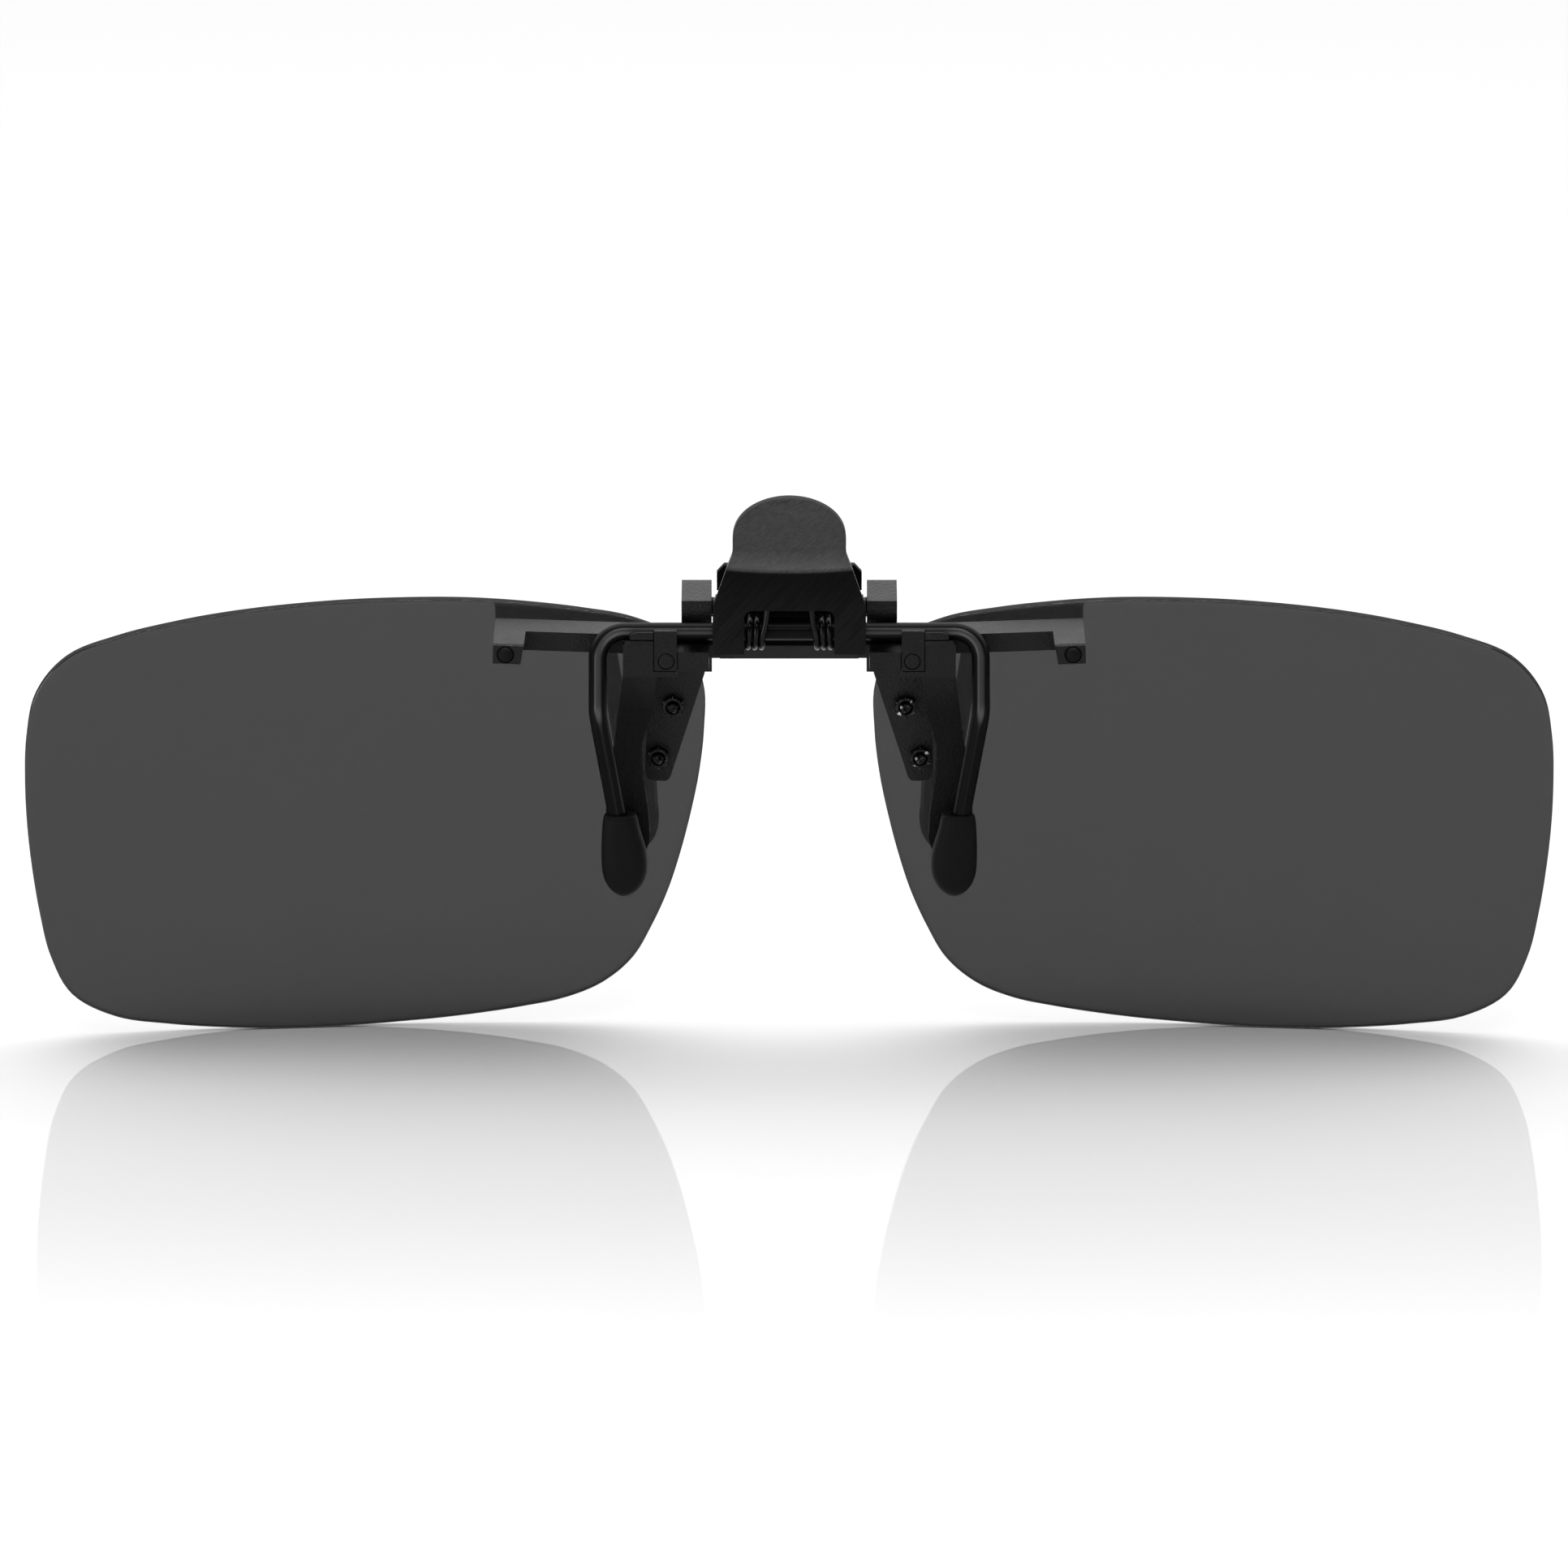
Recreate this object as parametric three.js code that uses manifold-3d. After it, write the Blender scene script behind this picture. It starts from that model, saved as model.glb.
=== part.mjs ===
// Flip-up clip-on sunglasses: a clip that grips the bridge area of a pair of spectacles,
// and two rimless tinted lenses that swing up on a hinge in front of it.
// Millimetres. +X along the hinge wire, +Z up, -Y towards the wearer, +Y away from the wearer.
// The origin is the middle of the hook wire's own axis, the line the squeeze lever turns on.
import * as THREE from "three";
import { mergeVertices } from "three/addons/utils/BufferGeometryUtils.js";
import Module from "manifold-3d";

const wasm = await Module();
wasm.setup();

// ---------------------------------------------------------------- driving dimensions
const WIRE_R = 0.8; // hook wire, 1.6 mm steel
const WIRE_BORE_R = 0.92;
const WIRE_BEND_R = 2.4;
const HOOK_X = 17.04; // where each hook hangs down
const HOOK_KINK = [HOOK_X, -2.5, -6.95];
const HOOK_LOW = [15.4, -0.95, -16.7];
const HOOK_END = [14.72, -0.95, -20.9];

const FLIP_Y = 3.0; // flip hinge axis, parallel to X
const FLIP_Z = 1.6;
const PIN_R = 0.8;
const PIN_HALF = 9.35;
const BARREL_R = 1.3;
const BARREL_HALF = 6.1;
const FLIP_WASHER_R = 1.0;

const LEVER_T = 0.5; // thumb lever sheet
const LEVER_Y = -1.5; // its front face
const LEVER_HALF = 6.8;
const LEVER_TAB_HALF = 4.98;
const LEVER_TAB_TILT = 32; // degrees, towards the wearer
const LEVER_TAB_LEN = 9.45;
const LEVER_BEND_HALF = 5.66; // half width where the tab is bent over
const LUG_T = 0.5;

const BLOCK_X0 = 10.0; // side body block
const BLOCK_X1 = 14.8;
const ARM_END = 26.3;

const KNUCKLE_X0 = 6.93; // lens bracket knuckle
const KNUCKLE_X1 = 9.6;

const LENS_T = 1.1;
const LENS_BACK_R = 220; // a flat curve
const LENS_CENTRE = [37.59, 6.72, -18.7];
const LENS_WRAP = 4; // degrees
// Outline radii about the lens centre, one every 7.5 degrees, starting at the temple side and
// going over the top to the nose side.
const LENS_OUTLINE = [
  31.03, 31.41, 32.03, 32.45, 31.34, 28.48, 25.87, 23.87, 22.36, 21.28, 20.57, 20.2,
  20.12, 20.34, 20.89, 21.78, 23.03, 24.74, 27.05, 29.95, 32.25, 32.25, 30.93, 29.68,
  28.65, 27.96, 27.54, 27.21, 26.95, 25.95, 24.34, 22.62, 21.31, 20.37, 19.77, 19.46,
  19.47, 19.76, 20.37, 21.29, 22.59, 24.35, 26.67, 29.53, 31.52, 31.6, 31.15, 30.93,
];

const PLATE_T = 0.8; // tapered lens plate
const PLATE_GAP = 0.3; // plate to lens, the lens being curved
const PLATE_AT = [-26.9, 8.6]; // plate middle in the lens's own plane
const SCREW_R = 0.5;
const SCREW_HEAD_R = 1.15;
const NUT_AF = 1.8;
const NUT_H = 0.9;

const SPRING_WIRE = 0.55;
const SPRING_R = 1.42;
const SPRING_TURNS = 2.25; // three wires pass across the back of each coil
const SPRING_PITCH = 0.6;

// ---------------------------------------------------------------- materials
const mat = (color, roughness, metalness) =>
  new THREE.MeshStandardMaterial({ color, roughness, metalness });
const BODY = () => mat(0x17171a, 0.5, 0.0);
const LEVER = () => mat(0x1b1b1d, 0.38, 0.6);
const WIRE = () => mat(0x131315, 0.22, 0.8);
const RUBBER = () => mat(0x121213, 0.75, 0.0);
const STEEL = () => mat(0x2b2b2e, 0.3, 0.9);
const TINT = () => mat(0x0c0d0f, 0.06, 0.0);

// ---------------------------------------------------------------- helpers
function solid(geometry) {
  let g = geometry.index ? geometry.toNonIndexed() : geometry.clone();
  g.deleteAttribute("normal");
  g.deleteAttribute("uv");
  g = mergeVertices(g, 1e-4);
  const made = new wasm.Manifold(
    new wasm.Mesh({
      numProp: 3,
      vertProperties: new Float32Array(g.attributes.position.array),
      triVerts: new Uint32Array(g.index.array),
    }),
  );
  return made;
}

function geometryOf(manifold) {
  const m = manifold.getMesh();
  const n = m.numProp;
  const v = new Float32Array((m.vertProperties.length / n) * 3);
  for (let i = 0; i < v.length / 3; i++)
    v.set(m.vertProperties.subarray(i * n, i * n + 3), i * 3);
  const g = new THREE.BufferGeometry();
  g.setAttribute("position", new THREE.BufferAttribute(v, 3));
  g.setIndex(new THREE.BufferAttribute(new Uint32Array(m.triVerts), 1));
  const flat = g.toNonIndexed();
  flat.computeVertexNormals();
  return flat;
}

const union = (...list) => list.reduce((a, b) => a.add(b));
const cut = (base, ...tools) => tools.reduce((a, b) => a.subtract(b), base);

const boxG = (x0, x1, y0, y1, z0, z1) =>
  new THREE.BoxGeometry(x1 - x0, y1 - y0, z1 - z0).translate(
    (x0 + x1) / 2,
    (y0 + y1) / 2,
    (z0 + z1) / 2,
  );
const box = (...a) => solid(boxG(...a));

// A cylinder between two values along one axis; c holds the other two coordinates in order.
function cylG(axis, a0, a1, c, r, seg = 24) {
  const g = new THREE.CylinderGeometry(r, r, a1 - a0, seg);
  const mid = (a0 + a1) / 2;
  if (axis === "x") return g.rotateZ(-Math.PI / 2).translate(mid, c[0], c[1]);
  if (axis === "y") return g.translate(c[0], mid, c[1]);
  return g.rotateX(Math.PI / 2).translate(c[0], c[1], mid);
}
const cyl = (...a) => solid(cylG(...a));

const shapeOf = (pts) => new THREE.Shape(pts.map((p) => new THREE.Vector2(...p)));
const PLAIN = { bevelEnabled: false, curveSegments: 12 };

// Outline in (x, z), thick from y0 to y1.
const slabXZ = (pts, y0, y1) =>
  new THREE.ExtrudeGeometry(pts instanceof THREE.Shape ? pts : shapeOf(pts), {
    ...PLAIN,
    depth: y1 - y0,
  })
    .rotateX(Math.PI / 2)
    .translate(0, y1, 0);

// Outline in (y, z), thick from x0 to x1.
const YZX = new THREE.Matrix4().makeBasis(
  new THREE.Vector3(0, 1, 0),
  new THREE.Vector3(0, 0, 1),
  new THREE.Vector3(1, 0, 0),
);
const slabYZ = (pts, x0, x1) =>
  new THREE.ExtrudeGeometry(pts instanceof THREE.Shape ? pts : shapeOf(pts), {
    ...PLAIN,
    depth: x1 - x0,
  })
    .applyMatrix4(YZX)
    .translate(x0, 0, 0);

// A round rod along a curve.
function rod(curve, r, steps, sides) {
  const ring = [];
  for (let i = 0; i < sides; i++) {
    const a = (2 * Math.PI * i) / sides;
    ring.push([r * Math.cos(a), r * Math.sin(a)]);
  }
  const g = new THREE.ExtrudeGeometry(shapeOf(ring), {
    steps,
    bevelEnabled: false,
    extrudePath: curve,
  });
  let s = solid(g);
  if (s.volume() < 0) {
    const p = g.attributes.position.array;
    for (let i = 0; i < p.length; i += 9)
      for (let k = 0; k < 3; k++)
        [p[i + 3 + k], p[i + 6 + k]] = [p[i + 6 + k], p[i + 3 + k]];
    s = solid(g);
  }
  return s;
}

const V = (...a) => new THREE.Vector3(...a);

// Straight runs joined by round bends: points, and a bend radius at each inner corner.
function wirePath(points, radii) {
  const path = new THREE.CurvePath();
  let from = points[0];
  for (let i = 1; i < points.length - 1; i++) {
    const p = points[i];
    const a = points[i - 1].clone().sub(p).normalize();
    const b = points[i + 1].clone().sub(p).normalize();
    const half = a.angleTo(b) / 2;
    const back = radii[i - 1] / Math.tan(half);
    const s = p.clone().addScaledVector(a, back);
    const e = p.clone().addScaledVector(b, back);
    path.add(new THREE.LineCurve3(from, s));
    const k = (4 / 3) * Math.tan((Math.PI - 2 * half) / 4) * radii[i - 1];
    path.add(
      new THREE.CubicBezierCurve3(
        s,
        s.clone().addScaledVector(a, -k),
        e.clone().addScaledVector(b, -k),
        e,
      ),
    );
    from = e;
  }
  path.add(new THREE.LineCurve3(from, points[points.length - 1]));
  return path;
}

const root = new THREE.Group();
root.name = "clip_on_sunglasses";
const rightSide = new THREE.Group();
const leftSide = new THREE.Group();
leftSide.scale.x = -1; // the left side mirrors the right one
root.add(rightSide, leftSide);

function put(group, name, shape, material) {
  const g = shape.isBufferGeometry ? shape : geometryOf(shape);
  const mesh = new THREE.Mesh(g, material);
  mesh.name = name;
  group.add(mesh);
  return mesh;
}
function pair(name, shape, material) {
  const g = shape.isBufferGeometry ? shape : geometryOf(shape);
  put(rightSide, name + "_right", g, material());
  put(leftSide, name + "_left", g.clone(), material());
}

// ---------------------------------------------------------------- fixed clip base
// Tongue that joins the middle plate to each side body.
const TONGUE = [2.2, 3.4, -3.0, -1.0];
const TONGUE_HEAD = [10.3, 12.4, -3.55, -0.85]; // x from, x to, z from, z to
{
  const plate = box(-6.2, 6.2, 2.0, 2.8, -2.86, FLIP_Z);
  const [hx0, hx1, hz0, hz1] = TONGUE_HEAD;
  const crossbar = union(
    box(-hx0 - 0.2, hx0 + 0.2, TONGUE[0], TONGUE[1], TONGUE[2], TONGUE[3]),
    box(hx0, hx1, TONGUE[0], TONGUE[1], hz0, hz1),
    box(-hx1, -hx0, TONGUE[0], TONGUE[1], hz0, hz1),
  );
  const foot = box(-6.2, 6.2, 2.0, 3.4, -3.0, -1.8);
  const barrel = cyl("x", -BARREL_HALF, BARREL_HALF, [FLIP_Y, FLIP_Z], BARREL_R, 32);
  // finger plate with a round top and two short wings
  const fp = new THREE.Shape();
  fp.moveTo(-4.3, 2.0);
  fp.lineTo(4.3, 2.0);
  fp.lineTo(4.3, 7.0);
  fp.absarc(0, 7.0, 4.3, 0, Math.PI, false);
  fp.lineTo(-4.3, 2.0);
  const finger = solid(slabXZ(fp, 1.6, 2.4));
  const wings = solid(
    slabXZ(
      [
        [-6.45, 3.4],
        [6.45, 3.4],
        [6.45, 5.0],
        [5.8, 5.7],
        [-5.8, 5.7],
        [-6.45, 5.0],
      ],
      1.5,
      2.5,
    ),
  );
  // three grip ribs across the finger side
  const ribs = [4.4, 6.2, 8.0].map((z) => box(-3, 3, 2.3, 2.75, z, z + 0.6));
  let base = union(plate, crossbar, foot, barrel, finger, wings, ...ribs);
  base = cut(
    base,
    cyl("x", -8, 8, [FLIP_Y, FLIP_Z], PIN_R + 0.06, 24),
    cyl("y", 0, 6, [10.94, -2.45], 0.78, 20),
    cyl("y", 0, 6, [-10.94, -2.45], 0.78, 20),
    // hollow behind the wire, above the lower bar
    box(-4.05, 4.05, 1.9, 2.35, -1.8, 0.25),
    // seats for the spring's outer legs
    box(4.25, 4.95, 1.9, 2.35, -2.2, -0.9),
    box(-4.95, -4.25, 1.9, 2.35, -2.2, -0.9),
  );
  put(root, "base_bridge", base, BODY());
}

// Side body: bearing block, shelf, arm with its foot, and the front leg.
{
  const block = solid(
    slabYZ(
      [
        [-1.2, -3.9],
        [4.7, -3.9],
        [4.7, -0.6],
        [1.3, 0.05],
        [1.15, 0.0],
        [1.05, -0.9],
        [-1.2, -0.9],
      ],
      BLOCK_X0,
      BLOCK_X1,
    ),
  );
  const shelf = box(7.15, 10.2, -1.2, 3.75, -3.35, -1.65);
  const arm = solid(
    slabYZ(
      [
        [1.1, -2.09],
        [4.7, -2.09],
        [4.7, -0.14],
        [1.1, -0.37],
      ],
      14.6,
      ARM_END,
    ),
  );
  // foot: the arm's top runs on over it and droops towards the pad; its inner side has draft
  const foot = cut(
    solid(
      slabYZ(
        [
          [-2.16, -2.6],
          [4.7, -2.6],
          [4.7, -0.14],
          [1.1, -0.37],
          [-1.95, -0.8],
          [-2.16, -0.95],
        ],
        23.4,
        ARM_END,
      ),
    ),
    solid(slabXZ([[23.0, -2.8], [23.85, -2.8], [23.42, 0.3], [23.0, 0.3]], -3, 1.1)),
    box(23.0, 24.6, 1.05, 5, -3, -2.09),
  );
  const leg = new THREE.Shape();
  leg.moveTo(11.7, -3.7);
  leg.lineTo(14.6, -2.3);
  leg.lineTo(15.67, -11.0);
  leg.lineTo(16.3, -14.5);
  leg.lineTo(16.5, -18.5);
  leg.quadraticCurveTo(16.4, -21.0, 14.4, -21.1);
  leg.quadraticCurveTo(12.6, -21.2, 12.5, -19.2);
  leg.lineTo(12.6, -17.2);
  leg.lineTo(12.85, -15.4);
  leg.lineTo(13.1, -13.6);
  leg.lineTo(13.25, -12.0);
  leg.lineTo(13.14, -10.6);
  leg.lineTo(12.75, -9.2);
  leg.lineTo(12.25, -7.9);
  leg.lineTo(11.7, -3.7);
  const legS = solid(slabXZ(leg, 1.05, 3.4));
  // the outer edge of the leg is chamfered
  // the arm and its foot rise a little towards the temple
  const outboard = union(arm, foot)
    .translate([-20.5, 0, 1.2])
    .rotate([0, -2, 0])
    .translate([20.5, 0, -1.2]);
  let body = union(block, shelf, outboard, legS);
  body = cut(
    body,
    box(6, 11, TONGUE[0] - 0.12, TONGUE[1] + 0.12, TONGUE[2] - 0.12, TONGUE[3] + 0.12),
    box(
      TONGUE_HEAD[0] - 0.12,
      TONGUE_HEAD[1] + 0.12,
      TONGUE[0] - 0.12,
      TONGUE[1] + 0.12,
      TONGUE_HEAD[2] - 0.12,
      TONGUE_HEAD[3] + 0.12,
    ),
    cyl("y", -2, 3.95, [10.94, -2.45], 0.78, 20), // stake
    box(9.9, 12.1, -1.3, -0.82, -3.42, -0.8), // retainer seat
    cyl("y", -2.3, -1.0, [25.2, -1.6], 0.78, 20), // foot pad socket
    box(6, 10.3, 3.72, 6, -4.5, 1),
  );
  pair("side_body", body, BODY);
}

pair("foot_pad", cyl("y", -2.56, -1.1, [25.2, -1.6], 0.72, 20), RUBBER);
pair("body_stake", cyl("y", -1.27, 3.85, [10.94, -2.45], 0.7, 20), STEEL);

// Retainer: a plate behind the wire with a lip over it, standing in the block's notch.
{
  const pts = [
    [-1.3, -3.32],
    [-0.95, -3.32],
    [-0.95, 0.1],
    [-0.9, 0.34],
    [-1.04, 0.44],
    [-1.3, 0.32],
  ];
  pair("wire_retainer", cut(solid(slabYZ(pts, 10.0, 12.0)), cyl("y", -2, 0, [10.94, -2.45], 0.75, 20)), BODY);
}

// Flip pin and the two friction washers that hold the lenses where they are put.
put(root, "flip_pin", cyl("x", -PIN_HALF, PIN_HALF, [FLIP_Y, FLIP_Z], PIN_R, 24), STEEL());
pair(
  "friction_washer",
  cut(
    cyl("x", 6.25, 6.6, [FLIP_Y, FLIP_Z], FLIP_WASHER_R + 0.05, 24),
    cyl("x", 6, 7, [FLIP_Y, FLIP_Z], PIN_R + 0.08, 24),
  ),
  STEEL,
);

// ---------------------------------------------------------------- squeeze lever and hooks
{
  const top = 5.94;
  const sheet = new THREE.Shape();
  sheet.moveTo(-LEVER_HALF, -1.61);
  sheet.lineTo(-4.0, -1.61);
  sheet.lineTo(-4.0, 1.75);
  sheet.quadraticCurveTo(-4.0, 2.35, -3.4, 2.35);
  sheet.lineTo(3.4, 2.35);
  sheet.quadraticCurveTo(4.0, 2.35, 4.0, 1.75);
  sheet.lineTo(4.0, -1.61);
  sheet.lineTo(LEVER_HALF, -1.61);
  sheet.lineTo(LEVER_HALF, 2.95);
  sheet.lineTo(LEVER_BEND_HALF, top);
  sheet.lineTo(-LEVER_BEND_HALF, top);
  sheet.lineTo(-LEVER_HALF, 2.95);
  sheet.lineTo(-LEVER_HALF, -1.61);
  const lower = solid(slabXZ(sheet, LEVER_Y - LEVER_T, LEVER_Y));
  // tab: straight sides, round end, tilted about its root
  const tab = new THREE.Shape();
  const w = LEVER_TAB_HALF;
  const b = LEVER_BEND_HALF;
  tab.moveTo(-b - 0.1, -0.35);
  tab.lineTo(b + 0.1, -0.35);
  tab.lineTo(b, 0);
  tab.lineTo(w + 0.15, 1.85);
  tab.lineTo(w, 2.6);
  tab.lineTo(w, LEVER_TAB_LEN - w);
  tab.absarc(0, LEVER_TAB_LEN - w, w, 0, Math.PI, false);
  tab.lineTo(-w, 2.6);
  tab.lineTo(-w - 0.15, 1.85);
  tab.lineTo(-b, 0);
  tab.lineTo(-b - 0.1, -0.35);
  const tabG = slabXZ(tab, -LEVER_T, 0)
    .rotateX(THREE.MathUtils.degToRad(LEVER_TAB_TILT))
    .translate(0, LEVER_Y, top);
  const lug = (x0, x1) => {
    const s = new THREE.Shape();
    s.moveTo(LEVER_Y - 0.1, -1.5);
    s.lineTo(0, -1.5);
    s.absarc(0, 0, 1.5, -Math.PI / 2, Math.PI / 2, false);
    s.lineTo(LEVER_Y - 0.1, 1.5);
    s.lineTo(LEVER_Y - 0.1, -1.5);
    return solid(slabYZ(s, x0, x1));
  };
  let lever = union(
    lower,
    solid(tabG),
    lug(LEVER_HALF - LUG_T, LEVER_HALF),
    lug(-LEVER_HALF, -LEVER_HALF + LUG_T),
  );
  lever = cut(lever, cyl("x", -8, 8, [0, 0], WIRE_R + 0.06, 24));
  put(root, "thumb_lever", lever, LEVER());
}

{
  const corner = V(HOOK_X, 0, 0);
  const pts = [
    V(-HOOK_END[0], HOOK_END[1], HOOK_END[2]),
    V(-HOOK_LOW[0], HOOK_LOW[1], HOOK_LOW[2]),
    V(-HOOK_KINK[0], HOOK_KINK[1], HOOK_KINK[2]),
    V(-corner.x, 0, 0),
    corner,
    V(...HOOK_KINK),
    V(...HOOK_LOW),
    V(...HOOK_END),
  ];
  const path = wirePath(pts, [6, 3, WIRE_BEND_R, WIRE_BEND_R, 3, 6]);
  put(root, "hook_wire", rod(path, WIRE_R, 72, 10), WIRE());
}

// Rubber tip: a closed sleeve over the hook's end, straight outside, bulging inside.
{
  const shape = new THREE.Shape();
  // outline in (x, z)
  shape.moveTo(13.75, -16.6);
  shape.lineTo(16.35, -16.6);
  shape.lineTo(16.8, -17.2);
  shape.lineTo(16.8, -22.2);
  shape.quadraticCurveTo(16.7, -24.1, 14.7, -24.15);
  shape.quadraticCurveTo(12.7, -24.1, 12.6, -22.0);
  shape.lineTo(12.65, -19.8);
  shape.quadraticCurveTo(12.9, -18.0, 13.5, -17.3);
  const g = new THREE.ExtrudeGeometry(shape, {
    depth: 2.3,
    bevelEnabled: true,
    bevelThickness: 0.45,
    bevelSize: 0.45,
    bevelOffset: -0.45,
    bevelSegments: 2,
    curveSegments: 5,
  })
    .rotateX(Math.PI / 2)
    .translate(0, -0.95 + 1.15, 0);
  const bore = rod(
    wirePath(
      [V(HOOK_KINK[0], HOOK_KINK[1], HOOK_KINK[2]), V(...HOOK_LOW), V(HOOK_END[0] - 0.02, HOOK_END[1], HOOK_END[2] - 0.12)],
      [6],
    ),
    WIRE_R + 0.07,
    24,
    12,
  );
  pair("rubber_tip", solid(g).subtract(bore), RUBBER);
}

// ---------------------------------------------------------------- double torsion spring
{
  const half = [];
  const n = SPRING_TURNS * 12;
  const x0 = 2.36;
  // from the middle of the loop, up behind the lever, down into the coil, round it, out to the base
  half.push(V(0.0, -1.18, 3.15), V(1.0, -1.18, 3.15), V(1.65, -1.18, 2.9), V(1.95, -1.18, 2.2), V(2.1, -1.3, 1.1));
  for (let i = 0; i <= n; i++) {
    const a = Math.PI + (2 * Math.PI * i) / 12; // angle in the y-z plane, starting at the back
    half.push(V(x0 + (SPRING_PITCH * i) / 12, SPRING_R * Math.cos(a), SPRING_R * Math.sin(a)));
  }
  // leave the coil downwards and rest on the base plate
  half.push(V(4.1, 0.8, -1.5), V(4.5, 1.5, -1.5), V(4.6, 2.2, -1.5));
  const pts = half
    .slice(1)
    .reverse()
    .map((p) => V(-p.x, p.y, p.z))
    .concat(half);
  const curve = new THREE.CatmullRomCurve3(pts, false, "centripetal");
  curve.arcLengthDivisions = 1500;
  put(root, "torsion_spring", rod(curve, SPRING_WIRE / 2, 124, 6), STEEL());
}

// ---------------------------------------------------------------- lenses and their brackets
// Frame of the lens: its back pole at LENS_CENTRE, turned by the wrap angle.
const lensM = new THREE.Matrix4()
  .makeTranslation(...LENS_CENTRE)
  .multiply(new THREE.Matrix4().makeRotationZ(THREE.MathUtils.degToRad(-LENS_WRAP)));
// Frame of the plate: y along the lens normal under the plate, z up the plate.
const px = PLATE_AT[0],
  pz = PLATE_AT[1];
const py = Math.sqrt(LENS_BACK_R ** 2 - px * px - pz * pz) - LENS_BACK_R;
const nLocal = V(px, py + LENS_BACK_R, pz).normalize();
const nWorld = nLocal.clone().transformDirection(lensM);
const zAxis = V(0, 0, 1).addScaledVector(nWorld, -nWorld.z).normalize();
const xAxis = new THREE.Vector3().crossVectors(nWorld, zAxis);
const plateM = new THREE.Matrix4()
  .makeBasis(xAxis, nWorld, zAxis)
  .setPosition(V(px, py, pz).applyMatrix4(lensM));
const SCREWS = [
  [-0.3, 1.95],
  [1.05, -2.85],
]; // in the plate's frame (x, z)

// Lens: a disc turned on a lathe, drawn out to the outline and bent to the sphere.
{
  const rings = [0, 0.3, 0.58, 0.82, 1.0];
  const prof = [];
  for (const r of rings) prof.push(new THREE.Vector2(r, 0)); // back, out to the edge
  for (const r of rings.slice().reverse()) prof.push(new THREE.Vector2(r, 1)); // front, back to the axis
  const g = new THREE.LatheGeometry(prof, LENS_OUTLINE.length);
  const p = g.attributes.position;
  for (let i = 0; i < p.count; i++) {
    const x = p.getX(i),
      t = p.getY(i),
      z = p.getZ(i);
    const r = Math.hypot(x, z);
    // the lathe's own circle lies in x-z; read the outline at its angle
    let a = (Math.atan2(z, x) / (2 * Math.PI)) * LENS_OUTLINE.length;
    a = (Math.round(a) + LENS_OUTLINE.length) % LENS_OUTLINE.length;
    const rim = LENS_OUTLINE[a] - (r > 0.99 ? 0 : 0);
    const dir = r > 1e-9 ? [x / r, z / r] : [0, 0];
    const lx = dir[0] * r * rim,
      lz = dir[1] * r * rim;
    const R = LENS_BACK_R + (t > 0.5 ? LENS_T : 0);
    p.setXYZ(i, lx, Math.sqrt(R * R - lx * lx - lz * lz) - LENS_BACK_R, lz);
  }
  g.applyMatrix4(lensM);
  let lens = null;
  try {
    lens = solid(g);
  } catch (e) {
    throw e;
  }
  if (lens.volume() < 0) {
    const q = g.toNonIndexed();
    const a = q.attributes.position.array;
    for (let i = 0; i < a.length; i += 9)
      for (let k = 0; k < 3; k++) [a[i + 3 + k], a[i + 6 + k]] = [a[i + 6 + k], a[i + 3 + k]];
    lens = solid(q);
  }
  for (const [sx, sz] of SCREWS)
    lens = lens.subtract(
      solid(cylG("y", -3, 4, [sx, sz], SCREW_R + 0.08, 16).applyMatrix4(plateM)),
    );
  pair("lens", lens, TINT);
}

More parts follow.
